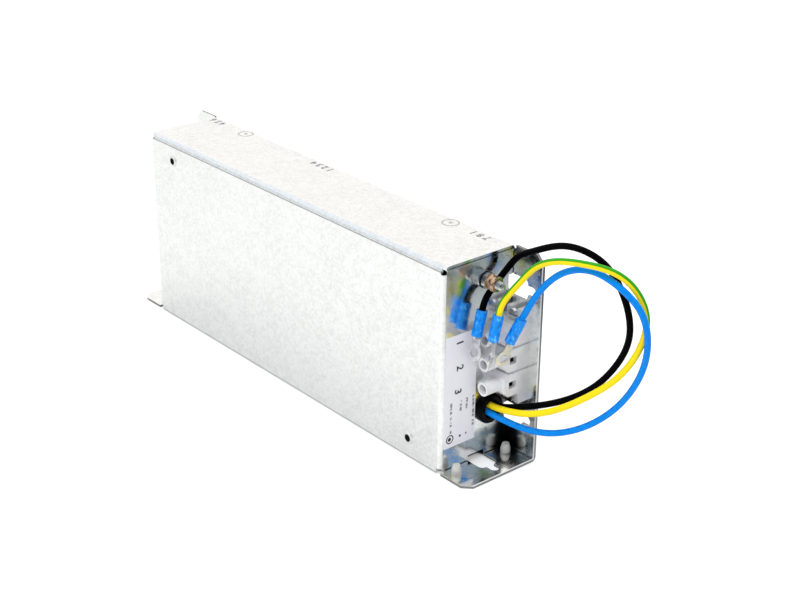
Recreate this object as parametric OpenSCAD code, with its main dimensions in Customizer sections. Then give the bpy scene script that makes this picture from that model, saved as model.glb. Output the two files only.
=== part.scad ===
// Chassis-mount EMI line filter in a folded sheet-steel case, with a three-pole
// terminal strip on one end plate, an earth stud and three flying leads.
// Millimetres. X runs along the case towards the terminals, Y from the riveted
// lid to the back leg, Z up. The origin is under the middle of the case.

/* [Case] */
// Length of the case between the outer faces of the two end plates
body_l = 228; // [200:1:280]
// Depth of the case from the lid to the back leg
body_d = 42; // [42:0.5:60]
// Height of the case
body_h = 100; // [96:1:130]
// Thickness of the folded steel sheet
sheet_t = 1.2; // [0.8:0.1:1.6]
// Outer radius of every fold
bend_r = 2; // [1.8:0.1:3]
// Reach of the foot and the back leg past each end plate
flange_l = 18; // [17:0.5:26]
// Corner cut on the free corners of the flanges
corner_cut = 4; // [1:0.5:6]
// Depth of the chassis lips behind the lid
lip_h = 15; // [14:0.5:20]
// How far the lid's upper edge stays below the top of the case
lid_drop = 2.4; // [2.2:0.1:4]
// Open gap round the edges of the end plates
plate_gap = 0.4; // [0.2:0.1:0.8]

/* [Fixing slots] */
// Width of the slots for the fixing screws
slot_w = 4.6; // [4:0.1:5.4]
// Width of the keyholes where the screw heads pass
key_w = 10; // [8:0.5:12]
// Reach of a keyhole's wide part past the end plate
key_l = 9.5; // [8:0.5:11]
// Distance of a slot's end radius centre from the end plate
slot_reach = 12.2; // [11.5:0.1:14]
// Place of the foot slots across the depth
foot_slot_y = 22; // [18:0.5:26]
// Distance of the back slots from the foot and the top
back_slot_z = 18.5; // [14:0.5:24]

/* [Rivets and pins] */
// Diameter of a blind rivet's head
rivet_head_d = 6.2; // [5.4:0.1:7]
// Height of a blind rivet's head
rivet_head_h = 1.2; // [0.8:0.1:1.6]
// Diameter of a blind rivet's shank
rivet_d = 3.2; // [2.6:0.1:4]
// Distance of a rivet from the nearer end plate
rivet_x = 21; // [14:0.5:30]
// Distance of a rivet from the nearer long edge
rivet_z = 10; // [8:0.5:10.5]
// Diameter of the pressed pins on the foot
pin_d = 4.6; // [3:0.1:5]
// Height of the pressed pins above the foot
pin_h = 4.2; // [3:0.1:6]

/* [Terminal strip] */
// Number of poles in the strip
poles = 3; // [2:1:3]
// Distance between two poles
pole_pitch = 12; // [11.5:0.1:13]
// Height of the middle of the strip above the foot
strip_z = 51; // [50:0.5:53]
// Half length of the strip, as it stands out of the end plate
strip_reach = 11; // [10:0.5:12]
// Width of one pole
pole_w = 10.8; // [9.8:0.1:11.2]
// Height of a pole's body above the back leg
pole_h = 11.2; // [10.5:0.1:12.5]
// Outer diameter of a screw tube
tube_d = 6.4; // [6.2:0.1:7]
// Bore of a screw tube
tube_bore = 4.4; // [4.1:0.1:4.6]
// Height of a screw tube's mouth above the back leg
tube_h = 21.8; // [19:0.2:24]
// Distance of the screw tubes from the end plate
tube_x = 6; // [5.5:0.1:7]
// Outer diameter of a clamp barrel
barrel_d = 5.6; // [5:0.1:6]
// Bore of a clamp barrel
barrel_bore = 3.4; // [3:0.1:3.8]
// Length of an ear past the last pole
ear_l = 5.4; // [5:0.1:7]

/* [Earth stud] */
// Thread diameter of the earth stud
stud_d = 4; // [3.5:0.1:5]
// Reach of the earth stud from the end plate
stud_l = 13.8; // [13.6:0.1:16]
// Place of the earth stud across the depth
stud_y = 21.5; // [18:0.5:24]
// Distance of the earth stud from the top
stud_drop = 10; // [8.5:0.5:12]
// Width of the nuts across their flats
nut_af = 6.5; // [6:0.1:8]
// Thickness of a brass nut
nut_h = 2.4; // [2:0.1:3.4]

/* [Grommet and leads] */
// Outer diameter of the grommet
grommet_d = 14.4; // [13.6:0.1:16]
// Bore of the grommet
grommet_bore = 9; // [8.9:0.1:10]
// Reach of the grommet from the end plate
grommet_reach = 3; // [2:0.1:4]
// Distance of the grommet's middle from the back of the case
grommet_back = 13.8; // [12:0.2:16]
// Height of the grommet's middle above the foot
grommet_z = 24.8; // [22:0.2:26]
// Diameter of a flying lead
lead_d = 3.1; // [2.4:0.1:3.2]
// Outer diameter of a crimp sleeve
sleeve_d = 4.9; // [4.4:0.1:5.6]
// Length of a crimp sleeve
sleeve_l = 11.8; // [9:0.1:14]
// Outer diameter of a ring tongue
ring_d = 8; // [6.5:0.1:9]
// Hole in a ring tongue
ring_hole = 4.3; // [3.2:0.1:5.3]
// Thickness of a ring tongue
ring_t = 0.8; // [0.5:0.1:1.2]

/* [Circuit board] */
// Length of the circuit board
board_l = 188; // [184:1:190]
// Width of the circuit board
board_w = 80; // [78:1:82]
// Thickness of the circuit board
board_t = 1.6; // [1:0.1:2.4]
// Height of the standoffs
standoff_h = 5; // [4:0.5:6]
// Outer diameter of a choke's core
core_d = 36; // [34:0.5:40]
// Bore of a choke's core
core_bore = 21; // [19:0.5:22]
// Height of a choke's core
core_h = 14; // [10:0.5:16]
// Thickness of the enamelled wire
wire_t = 1.3; // [0.9:0.1:1.5]
// Turns on each half of a choke
choke_turns = 11; // [7:1:12]

/* [Hidden] */
$fn = 48;

// Cuts run this far past the faces that they open.
cut_over = 1;
// Clearance between pieces that slide or drop into each other.
fit_gap = 0.1;
// Radius of a fold's inner face.
bend_in = bend_r - sheet_t;

// The lid's riveted panel lies on the lips of the chassis.
lip_y = sheet_t + fit_gap / 2;
lid_foot_gap = 0.3;
lid_top_z = body_h - lid_drop;
plate_low_z = sheet_t + plate_gap;
plate_top_z = body_h - sheet_t - plate_gap;
plate_back_y = body_d - sheet_t - plate_gap;
back_y = body_d - sheet_t;
lip_back_y = lip_y + sheet_t + bend_in;

// Notches that free the folds at the ends of the case.
relief_r = 1.3;
corner_notch = 2.4;
notch_past = 0.6;
notch_h = 2.6;
key_round = 2.5;

// Blind rivets: the set end behind the lip and the pulled mandrel.
rivet_set_d = 1.35 * rivet_d;
rivet_set_h = 2.4;
mandrel_d = 0.55 * rivet_d;
mandrel_sink = 0.5;
rivet_places = [[rivet_x, body_h - rivet_z], [body_l - rivet_x, rivet_z]];

// Pressed pins on the foot beyond the terminal end plate.
pin_x = body_l + 4.6;
pin_inset = 6;
pin_places = [pin_inset, body_d - pin_inset];
pin_root_d = pin_d - 1.4;

// The label covers the lid-side strip of the terminal end plate.
label_t = 0.15;
label_clear = 0.6;
label_y = [2.2, body_d - grommet_back - grommet_d / 2 - label_clear];
label_z = [12, 66.4];

// Terminal strip.
strip_half = (poles - 1) / 2 * pole_pitch;
pole_offsets = [for (i = [0 : poles - 1]) i * pole_pitch - strip_half];
shoulder_h = (pole_w - tube_d) / 2;
web_h = 7;
entry_h = 8.6;
entry_size = [4.2, 3.4];
barrel_l = 2 * strip_reach - 4;
screw_d = 3;
screw_head_d = tube_bore - 2 * fit_gap;
screw_head_h = 2;
screw_len = 7.4;
screw_slot = [0.7, 0.8];
ear_h = 4.8;
ear_x = [2, strip_reach];
ear_slot_w = 3.6;
strip_low = strip_z - strip_half - pole_w / 2;
strip_high = strip_z + strip_half + pole_w / 2;
ear_screw_x = (ear_x[0] + ear_x[1]) / 2;
ear_screw_z = [strip_low - ear_l / 2, strip_high + ear_l / 2];
ear_head_d = 5.2;
ear_head_h = 1.6;
clamp_z = barrel_bore / 2 - 0.4;

// Stack of pieces on the earth stud, from the end plate outwards.
stud_z = body_h - stud_drop;
stud_head_d = 8;
stud_head_h = 1.2;
base_nut_h = 2.2;
washer_d = 8;
washer_h = 0.8;
tooth_d = 7.8;
tooth_h = 0.9;
tooth_n = 10;
spring_d = 7.2;
spring_h = 1.1;
stack_washer = base_nut_h;
stack_tooth = stack_washer + washer_h;
stack_washer_2 = stack_tooth + tooth_h;
stack_spring = stack_washer_2 + washer_h;
stack_nuts = stack_spring + spring_h;

// Grommet: two beads with the end plate's edge between them.
grommet_neck_d = (grommet_d + grommet_bore) / 2;
grommet_in = 1.6;
grommet_y = body_d - grommet_back;
grommet_face = [body_l + grommet_reach, grommet_y, grommet_z];

// Ring terminals: metal barrel in the sleeve, neck and ring tongue.
crimp_wall = 0.7;
lead_grip = 4;
crimp_bore = 2.4;
crimp_d = 3.6;
crimp_out = 1;
neck_l = 3.6;
neck_w = 4.4;
ring_offset = 0.6;

// Rings along each swept lead and its sides.
lead_rings = 25;
tail_rings = 8;
lead_sides = 8;

// Routes of the flying leads, measured from the middle of the grommet's face.
// The last two points give the direction of the crimp sleeve.
black_route = [
    [0, 2.6, 1.2], [4, 2.9, 1.4], [18, 8, 6], [31, 15, 12], [42, 21, 21],
    [50, 25, 34], [56, 25, 48], [56, 22, 63], [50, 19, 77], [41, 17, 84],
    [27, 11, 87], [12, 8, 78], [4, 8, 74], [0, 5, 66], [2, -8.5, 58.5],
    [2, -10, 52.5]
];
earth_route = [
    [0, -0.6, 2.1], [4, -0.5, 2.15], [19, 2, 4], [31, 9, 9], [42, 17, 18],
    [52, 23, 28], [58, 28, 41], [61, 30, 56], [59, 25, 70], [54, 16, 81],
    [45, 7, 84], [32, 2, 83], [20, 2, 76], [13, 1, 66], [9.5, -6, 58],
    [9.5, -7.5, 52]
];
blue_route = [
    [0, -1.8, -1], [4, -1.8, -1.1], [19, 3, -4], [30, 11, -4], [41, 19, 2],
    [50, 26, 12], [57, 29, 25], [62, 29, 39], [64, 26, 54], [62, 22, 66],
    [54, 16, 75], [43, 12, 80], [31, 8, 76], [22, 5, 66], [16.5, 3, 55],
    [15, 1, 49.5]
];
// Turn of each ring tongue about its sleeve.
black_turn = 0;
earth_turn = 60;
blue_turn = 60;

// Circuit board on standoffs, away from the back leg and low over the foot.
board_x = (body_l - strip_reach - board_l) / 2;
board_z = 10;
board_face_y = back_y - standoff_h - board_t;
standoff_d = 6;
standoff_bore = 2.6;
standoff_root_d = 4.2;
standoff_inset = 6;
board_screw_d = 2.5;
board_screw_l = 5.4;
board_head_d = 5;
board_head_h = 1.8;
insulator_t = 0.4;
insulator_inset = 2;
standoff_places = [
    for (x = [standoff_inset, board_l - standoff_inset], z = [standoff_inset, board_w - standoff_inset])
        [board_x + x, board_z + z]
];

// Pads for the leads near the board's terminal end.
pad_inset = 16;
pad_low = 12;
pad_step = 6;
pad_x = board_x + board_l - pad_inset;
tail_pad_z = [for (i = [0 : 2]) board_z + pad_low + i * pad_step];

// Component places on the board: along X, and up Z from the middle.
board_mid_z = board_z + board_w / 2;
choke_lift = 2;
choke_over = wire_t + fit_gap;
choke_spacing = 68;
choke_mid_x = (board_x + pad_x) / 2;
choke_a_x = choke_mid_x - choke_spacing / 2;
choke_b_x = choke_mid_x + choke_spacing / 2;
x_cap_inset = 16;
x_cap_size = [11, 26, 19];
x_cap_pitch = 22.5;
x_cap_a_x = board_x + x_cap_inset;
x_cap_b_x = pad_x - x_cap_inset;
y_cap_size = [13, 5, 10];
y_cap_pitch = 10;
y_cap_x = x_cap_b_x;
y_cap_z = [-34, -25];
resistor_d = 3.2;
resistor_l = 9;
resistor_pitch = 15;
resistor_x = choke_mid_x;
resistor_lift = 3;
pin_wire_d = 0.8;
pin_hole_d = 1;
pin_past = 1.5;
inner_lead_d = 2.4;
clamp_grip = 5;
arch_run = 6;
arch_h = 10;
arch_lift = 0.5;
tail_arch_h = 9;
pad_rise = 4;
sector_angle = 150;
line_start = -sector_angle / 2;
neutral_start = 180 - sector_angle / 2;
turn_fill = 0.72;
turn_base = 0.45;

// All pieces are drawn from the lid's lower corner at the far end, then moved
// so that the origin lies under the middle of the case and its rivet heads.
module in_frame() {
    translate([-body_l / 2, -(body_d - rivet_head_h) / 2, 0])
        children();
}

module at_both_ends() {
    children();
    translate([body_l, 0, 0])
        mirror([1, 0, 0])
            children();
}

// A rectangle with true round corners.
module round_rect(size, r) {
    translate([r, 0])
        square([size[0] - 2 * r, size[1]]);
    translate([0, r])
        square([size[0], size[1] - 2 * r]);
    for (x = [r, size[0] - r], y = [r, size[1] - r])
        translate([x, y])
            circle(r);
}

// Stands a shape that was drawn in plan up against the YZ plane.
module along_x() {
    rotate([90, 0, 90])
        children();
}

// Lays the local Z axis along Y, towards the lid.
module towards_lid() {
    rotate([90, 0, 0])
        children();
}

// ---- Chassis -------------------------------------------------------------

module chassis_section() {
    depth = body_d - lip_y;
    difference() {
        translate([lip_y, 0])
            round_rect([depth, body_h], bend_r);
        translate([lip_y + sheet_t, sheet_t])
            round_rect([depth - 2 * sheet_t, body_h - 2 * sheet_t], bend_in);
        translate([0, lip_h])
            square([lip_y + sheet_t + bend_in, body_h - 2 * lip_h]);
    }
}

module flange_section() {
    difference() {
        union() {
            square([body_d - bend_r, sheet_t]);
            translate([body_d - sheet_t, bend_r])
                square([sheet_t, body_h - bend_r]);
            translate([body_d - bend_r, bend_r])
                intersection() {
                    circle(bend_r);
                    translate([0, -bend_r])
                        square([bend_r, bend_r]);
                }
        }
        translate([body_d - bend_r, bend_r])
            circle(bend_in);
    }
}

module foot_corner_cuts() {
    for (corner = [[-flange_l, 0, 0], [-flange_l, body_d, body_h]])
        translate(corner)
            rotate(corner[2] > 0 ? [0, 45, 0] : [0, 0, 45])
                cube([corner_cut * sqrt(2), corner_cut * sqrt(2), corner_cut * sqrt(2)], center = true);
}

// Plan of a keyhole: from under the end plate out to the round slot end.
module keyhole_plan() {
    translate([-sheet_t - key_round, -key_w / 2])
        round_rect([key_l + sheet_t + key_round, key_w], key_round);
    translate([0, -slot_w / 2])
        square([slot_reach, slot_w]);
    translate([slot_reach, 0])
        circle(d = slot_w);
}

// Plan of a slot that is open at the flange's edge.
module open_slot_plan() {
    translate([-slot_reach, 0])
        circle(d = slot_w);
    translate([-flange_l - cut_over, -slot_w / 2])
        square([flange_l + cut_over - slot_reach, slot_w]);
}

module through_foot(x, y) {
    translate([x, y, -cut_over])
        linear_extrude(sheet_t + 2 * cut_over)
            children();
}

module through_back(x, z) {
    translate([x, body_d + cut_over, z])
        towards_lid()
            linear_extrude(sheet_t + 2 * cut_over)
                children();
}

module chassis() {
    in_frame() color("gainsboro")
        difference() {
            union() {
                along_x() linear_extrude(body_l) chassis_section();
                translate([-flange_l, 0, 0])
                    along_x() linear_extrude(flange_l) flange_section();
                translate([body_l, 0, 0])
                    along_x() linear_extrude(flange_l) flange_section();
            }
            at_both_ends() {
                foot_corner_cuts();
                // Square notch where the foot steps back behind the lid.
                translate([-notch_past, -cut_over, -cut_over])
                    cube([notch_past + corner_notch, cut_over + lip_back_y, lip_h + 2 * cut_over]);
                // The upper lip stops short of the end plates.
                translate([-cut_over, -cut_over, body_h - lip_h - cut_over])
                    cube([corner_notch + cut_over, cut_over + lip_back_y,
                          plate_top_z + fit_gap - body_h + lip_h + cut_over]);
                // Round relief at the end of the top fold.
                translate([0, body_d - bend_r / 2, body_h - bend_r / 2])
                    rotate([-45, 0, 0])
                        cylinder(r = relief_r, h = 4 * bend_r, center = true);
            }
            through_foot(body_l, foot_slot_y) keyhole_plan();
            through_foot(0, foot_slot_y) open_slot_plan();
            for (z = [back_slot_z, body_h - back_slot_z]) {
                through_back(body_l, z) keyhole_plan();
                through_back(0, z) open_slot_plan();
            }
            for (place = rivet_places)
                translate([place[0], lip_y + sheet_t + cut_over, place[1]])
                    towards_lid()
                        cylinder(d = rivet_d + fit_gap, h = sheet_t + 2 * cut_over);
            for (y = pin_places)
                translate([pin_x, y, -cut_over])
                    cylinder(d = pin_root_d, h = sheet_t + 2 * cut_over);
            for (place = standoff_places)
                translate([place[0], body_d + cut_over, place[1]])
                    towards_lid()
                        cylinder(d = standoff_root_d, h = sheet_t + 2 * cut_over);
            for (z = ear_screw_z)
                translate([body_l + ear_screw_x, body_d + cut_over, z])
                    towards_lid()
                        cylinder(d = screw_d, h = sheet_t + 2 * cut_over);
        }
}

// ---- Lid -----------------------------------------------------------------

module lid_plan() {
    difference() {
        union() {
            translate([bend_r, 0])
                square([body_l - 2 * bend_r, bend_r]);
            translate([0, bend_r])
                square([body_l, plate_back_y - bend_r]);
            for (x = [bend_r, body_l - bend_r])
                translate([x, bend_r])
                    circle(bend_r);
        }
        translate([sheet_t + bend_in, sheet_t])
            square([body_l - 2 * bend_r, bend_r]);
        translate([sheet_t, bend_r])
            square([body_l - 2 * sheet_t, body_d]);
        for (x = [bend_r, body_l - bend_r])
            translate([x, bend_r])
                circle(bend_in);
    }
}

// Cut-outs of the terminal end plate: strip, grommet, stud and keyholes.
module end_plate_openings() {
    translate([-sheet_t - cut_over, 0, 0]) {
        translate([0, back_y - pole_h - shoulder_h - fit_gap, strip_low - fit_gap])
            cube([sheet_t + 2 * cut_over, body_d, strip_high - strip_low + 2 * fit_gap]);
        translate([0, grommet_y, grommet_z])
            rotate([0, 90, 0])
                cylinder(d = grommet_neck_d + 2 * fit_gap, h = sheet_t + 2 * cut_over);
        translate([0, stud_y, stud_z])
            rotate([0, 90, 0])
                cylinder(d = stud_d + fit_gap, h = sheet_t + 2 * cut_over);
        translate([0, foot_slot_y - key_w / 2, 0])
            cube([sheet_t + 2 * cut_over, key_w, sheet_t + notch_h]);
        for (z = [back_slot_z, body_h - back_slot_z])
            translate([0, back_y - notch_h, z - key_w / 2])
                cube([sheet_t + 2 * cut_over, notch_h, key_w]);
    }
}

module lid() {
    in_frame() color("whitesmoke")
        difference() {
            union() {
                translate([0, 0, plate_low_z])
                    linear_extrude(plate_top_z - plate_low_z) lid_plan();
                translate([corner_notch, 0, lid_foot_gap])
                    cube([body_l - 2 * corner_notch, sheet_t, plate_low_z]);
            }
            // The panel ends below the top fold of the chassis.
            translate([-cut_over, -cut_over, lid_top_z])
                cube([body_l + 2 * cut_over, cut_over + bend_r, lid_drop]);
            at_both_ends() {
                translate([-cut_over, -cut_over, -cut_over])
                    cube([corner_notch + cut_over, corner_notch + cut_over, notch_h + cut_over]);
                translate([bend_r / 2, bend_r / 2, lid_top_z - relief_r / 3])
                    rotate([0, 90, 45])
                        cylinder(r = relief_r, h = 4 * bend_r, center = true);
            }
            for (place = rivet_places)
                translate([place[0], sheet_t + cut_over, place[1]])
                    towards_lid()
                        cylinder(d = rivet_d + fit_gap, h = sheet_t + 2 * cut_over);
            translate([body_l, 0, 0])
                end_plate_openings();
        }
}

// A set blind rivet along +Z, with its head's seat at z = 0.
module blind_rivet(grip) {
    flat = rivet_head_d / 2;
    rise = rivet_head_h;
    dome_r = (flat * flat + rise * rise) / (2 * rise);
    difference() {
        union() {
            intersection() {
                translate([0, 0, rise - dome_r])
                    sphere(dome_r);
                cylinder(r = flat, h = rise);
            }
            translate([0, 0, -grip])
                cylinder(d = rivet_d, h = grip);
            translate([0, 0, -grip - rivet_set_h])
                cylinder(d1 = rivet_d, d2 = rivet_set_d, h = rivet_set_h);
        }
        translate([0, 0, rise - mandrel_sink])
            cylinder(d = mandrel_d, h = cut_over);
    }
}

module lid_rivets() {
    in_frame() color("lightgray")
        for (place = rivet_places)
            translate([place[0], 0, place[1]])
                towards_lid()
                    blind_rivet(lip_y + sheet_t);
}

// A pressed pin: its root fills the hole in the foot.
module foot_pins() {
    in_frame() color("silver")
        for (y = pin_places)
            translate([pin_x, y, 0]) {
                cylinder(d = pin_root_d, h = sheet_t);
                translate([0, 0, sheet_t])
                    cylinder(d = pin_d, h = 0.45 * pin_h);
                translate([0, 0, sheet_t + 0.45 * pin_h])
                    cylinder(d1 = pin_d, d2 = 0.7 * pin_d, h = 0.55 * pin_h);
            }
}

module label() {
    in_frame() color("white")
        translate([body_l, label_y[0], label_z[0]])
            cube([label_t, label_y[1] - label_y[0], label_z[1] - label_z[0]]);
}

module grommet() {
    outer_r = grommet_d / 2;
    bore_r = grommet_bore / 2;
    neck_r = grommet_neck_d / 2;
    lip_r = 1.2;
    in_frame() color("#15151a")
        translate([body_l, grommet_y, grommet_z])
            rotate([0, 90, 0])
                rotate_extrude() {
                    // Outer bead with a round shoulder.
                    translate([bore_r, 0])
                        square([outer_r - bore_r, grommet_reach - lip_r]);
                    translate([bore_r, 0])
                        square([outer_r - lip_r - bore_r, grommet_reach]);
                    translate([outer_r - lip_r, grommet_reach - lip_r])
                        circle(lip_r);
                    // Neck through the end plate, and the inner bead.
                    translate([bore_r, -sheet_t - grommet_in])
                        square([neck_r - bore_r, sheet_t + grommet_in]);
                    translate([bore_r, -sheet_t - grommet_in])
                        square([outer_r - bore_r, grommet_in]);
                }
}

// ---- Earth stud ----------------------------------------------------------

// Places a piece of the stack at a distance from the end plate.
module on_stud(distance) {
    translate([body_l + distance, stud_y, stud_z])
        rotate([0, 90, 0])
            children();
}

module hex_nut(height, chamfer = 0.5) {
    corner_d = nut_af / cos(30);
    difference() {
        intersection() {
            cylinder(d = corner_d, h = height, $fn = 6);
            union() {
                cylinder(d1 = nut_af, d2 = nut_af + 4 * chamfer, h = chamfer);
                translate([0, 0, chamfer])
                    cylinder(d = nut_af + 4 * chamfer, h = height - 2 * chamfer);
                translate([0, 0, height - chamfer])
                    cylinder(d1 = nut_af + 4 * chamfer, d2 = nut_af, h = chamfer);
            }
        }
        translate([0, 0, -cut_over])
            cylinder(d = stud_d + fit_gap, h = height + 2 * cut_over);
    }
}

module flat_washer(outer_d, height) {
    difference() {
        cylinder(d = outer_d, h = height);
        translate([0, 0, -cut_over])
            cylinder(d = stud_d + fit_gap, h = height + 2 * cut_over);
    }
}

module earth_stud() {
    tip = 0.6;
    in_frame() color("lightgray")
        on_stud(0) {
            translate([0, 0, -sheet_t - stud_head_h])
                cylinder(d = stud_head_d, h = stud_head_h);
            translate([0, 0, -sheet_t])
                cylinder(d = stud_d, h = stud_l + sheet_t - tip);
            translate([0, 0, stud_l - tip])
                cylinder(d1 = stud_d, d2 = stud_d - 2 * tip, h = tip);
        }
}

module earth_base_nut() {
    in_frame() color("dimgray") on_stud(0) hex_nut(base_nut_h);
}

module earth_washers() {
    in_frame() color("silver") {
        on_stud(stack_washer) flat_washer(washer_d, washer_h);
        on_stud(stack_washer_2) flat_washer(washer_d - 0.8, washer_h);
    }
}

module earth_tooth_washer() {
    in_frame() color("dimgray") on_stud(stack_tooth)
        difference() {
            flat_washer(tooth_d, tooth_h);
            for (i = [0 : tooth_n - 1])
                rotate(i * 360 / tooth_n)
                    translate([tooth_d / 2, 0, -cut_over])
                        cylinder(d = 1.3, h = tooth_h + 2 * cut_over);
        }
}

module earth_spring_washer() {
    in_frame() color("slategray") on_stud(stack_spring)
        difference() {
            flat_washer(spring_d, spring_h);
            translate([0, -0.4, -cut_over])
                cube([spring_d, 0.8, spring_h + 2 * cut_over]);
        }
}

module earth_nuts() {
    in_frame() color("goldenrod")
        for (i = [0, 1])
            on_stud(stack_nuts + i * nut_h) hex_nut(nut_h);
}

// ---- Terminal strip ------------------------------------------------------

// Poles are drawn with Z out of the back leg and Y up the strip.
module on_strip() {
    translate([body_l, back_y, strip_z])
        towards_lid()
            children();
}

// Cross-section of one pole: straight sides and two sloping shoulders.
module pole_section() {
    polygon([
        [-pole_w / 2, 0], [pole_w / 2, 0], [pole_w / 2, pole_h],
        [tube_d / 2, pole_h + shoulder_h], [-tube_d / 2, pole_h + shoulder_h], [-pole_w / 2, pole_h]
    ]);
}

module pole_housing() {
    difference() {
        union() {
            rotate([90, 0, 90])
                translate([0, 0, -strip_reach])
                    linear_extrude(2 * strip_reach) pole_section();
            for (x = [-tube_x, tube_x])
                translate([x, 0, pole_h])
                    cylinder(d = tube_d, h = tube_h - pole_h);
        }
        // Chamber of the clamp barrel, and the two wire entries.
        translate([-barrel_l / 2, 0, entry_h])
            rotate([0, 90, 0])
                cylinder(d = barrel_d + fit_gap, h = barrel_l);
        translate([0, 0, entry_h])
            cube([2 * strip_reach + 2 * cut_over, entry_size[1], entry_size[0]], center = true);
        for (x = [-tube_x, tube_x])
            translate([x, 0, entry_h])
                cylinder(d = tube_bore, h = tube_h);
    }
}

module strip_ear() {
    difference() {
        translate([ear_x[0], 0, 0])
            cube([ear_x[1] - ear_x[0], ear_l, ear_h]);
        translate([ear_screw_x, ear_l / 2, -cut_over])
            cylinder(d = ear_slot_w, h = ear_h + 2 * cut_over);
        translate([ear_screw_x - ear_slot_w / 2, ear_l / 2, -cut_over])
            cube([ear_slot_w, ear_l, ear_h + 2 * cut_over]);
    }
}

module terminal_strip() {
    in_frame() color("whitesmoke") on_strip() {
        for (z = pole_offsets)
            translate([0, z, 0]) pole_housing();
        // Webs where the strip can be cut between two poles.
        for (i = [0 : 1 : poles - 2])
            translate([-strip_reach + 1, pole_offsets[i] + pole_w / 2, 0])
                cube([2 * strip_reach - 2, pole_pitch - pole_w, web_h]);
        translate([0, strip_half + pole_w / 2, 0]) strip_ear();
        translate([0, -strip_half - pole_w / 2, 0])
            mirror([0, 1, 0]) strip_ear();
    }
}

module terminal_barrels() {
    in_frame() color("khaki") on_strip()
        for (z = pole_offsets)
            translate([0, z, entry_h])
                difference() {
                    translate([-barrel_l / 2, 0, 0])
                        rotate([0, 90, 0])
                            cylinder(d = barrel_d, h = barrel_l);
                    translate([-barrel_l / 2 - cut_over, 0, 0])
                        rotate([0, 90, 0])
                            cylinder(d = barrel_bore, h = barrel_l + 2 * cut_over);
                    for (x = [-tube_x, tube_x])
                        translate([x, 0, 0])
                            cylinder(d = screw_d + fit_gap, h = barrel_d);
                }
}

// A slotted cheese-head screw along +Z, with its tip at z = 0.
module slotted_screw(shank_d, length, head_d, head_h) {
    difference() {
        union() {
            cylinder(d = shank_d, h = length);
            translate([0, 0, length])
                cylinder(d = head_d, h = head_h);
        }
        translate([0, 0, length + head_h])
            cube([head_d + cut_over, screw_slot[0], 2 * screw_slot[1]], center = true);
    }
}

module terminal_screws() {
    in_frame() color("silver") on_strip()
        for (z = pole_offsets, x = [-tube_x, tube_x])
            translate([x, z, entry_h + clamp_z])
                slotted_screw(screw_d, screw_len, screw_head_d, screw_head_h);
}

module strip_screws() {
    in_frame() color("silver")
        for (z = ear_screw_z)
            translate([body_l + ear_screw_x, body_d, z])
                towards_lid()
                    slotted_screw(screw_d, ear_h + sheet_t, ear_head_d, ear_head_h);
}

// ---- Leads ---------------------------------------------------------------

function unit(v) = v / norm(v);
function last(list) = list[len(list) - 1];

// Route extended by one point past each end, so that the curve starts and
// stops exactly on the end points.
function extended(p) = concat([2 * p[0] - p[1]], p, [2 * last(p) - p[len(p) - 2]]);

// Point on the uniform cubic B-spline through the four control points.
function blend(a, b, c, d, t) =
    (pow(1 - t, 3) * a + (3 * pow(t, 3) - 6 * t * t + 4) * b
     + (-3 * pow(t, 3) + 3 * t * t + 3 * t + 1) * c + pow(t, 3) * d) / 6;

function smooth_route(p, rings) =
    let (e = extended(p), spans = len(p) - 1)
    [for (i = [0 : rings - 1])
        let (u = i * spans / (rings - 1), k = min(floor(u), spans - 1))
        blend(e[k], e[k + 1], e[k + 2], e[k + 3], u - k)];

// Directions in which a route leaves its first point and reaches its last one.
function way_out(p) = unit(p[1] - p[0]);
function way_in(p) = unit(last(p) - p[len(p) - 2]);

function headings(c, first, final) =
    [for (i = [0 : len(c) - 1])
        i == 0 ? first : i == len(c) - 1 ? final : unit(c[i + 1] - c[i - 1])];

// Carries one normal along the route without twisting it.
function normals(h, start) =
    let (first = unit(start - (start * h[0]) * h[0]))
    [for (i = 0, n = first; i < len(h);
          i = i + 1, n = i < len(h) ? unit(n - (n * h[i]) * h[i]) : n) n];

// A closed tube along a route, running on straight past its end.
module swept_lead(route, diameter, rings, run_on = 0) {
    way = way_in(route);
    curve = smooth_route(route, rings);
    centres = run_on > 0 ? concat(curve, [last(curve) + run_on * way]) : curve;
    h = headings(centres, way_out(route), way);
    n = normals(h, [0, 0.3, 1]);
    rows = len(centres);
    points = [for (i = [0 : rows - 1], k = [0 : lead_sides - 1])
        let (a = 360 * k / lead_sides)
        centres[i] + diameter / 2 * (cos(a) * n[i] + sin(a) * cross(h[i], n[i]))];
    walls = [for (i = [0 : rows - 2], k = [0 : lead_sides - 1])
        let (m = (k + 1) % lead_sides)
        [i * lead_sides + k, (i + 1) * lead_sides + k, (i + 1) * lead_sides + m, i * lead_sides + m]];
    start_cap = [for (k = [0 : lead_sides - 1]) k];
    end_cap = [for (k = [lead_sides - 1 : -1 : 0]) (rows - 1) * lead_sides + k];
    polyhedron(points, concat(walls, [start_cap, end_cap]), convexity = 10);
}

module flying_lead(route) {
    translate(grommet_face)
        swept_lead(route, lead_d, lead_rings, lead_grip);
}

// Moves to the sleeve's mouth, with Z pointing on along the lead.
module at_lead_end(route) {
    way = way_in(route);
    translate(grommet_face + last(route))
        rotate([0, acos(way[2]), atan2(way[1], way[0])])
            children();
}

module crimp_sleeve(route) {
    at_lead_end(route)
        difference() {
            cylinder(d = sleeve_d, h = sleeve_l);
            translate([0, 0, -cut_over])
                cylinder(d = lead_d + fit_gap, h = lead_grip + cut_over);
            translate([0, 0, lead_grip])
                cylinder(d = crimp_d + fit_gap / 2, h = sleeve_l);
        }
}

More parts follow.
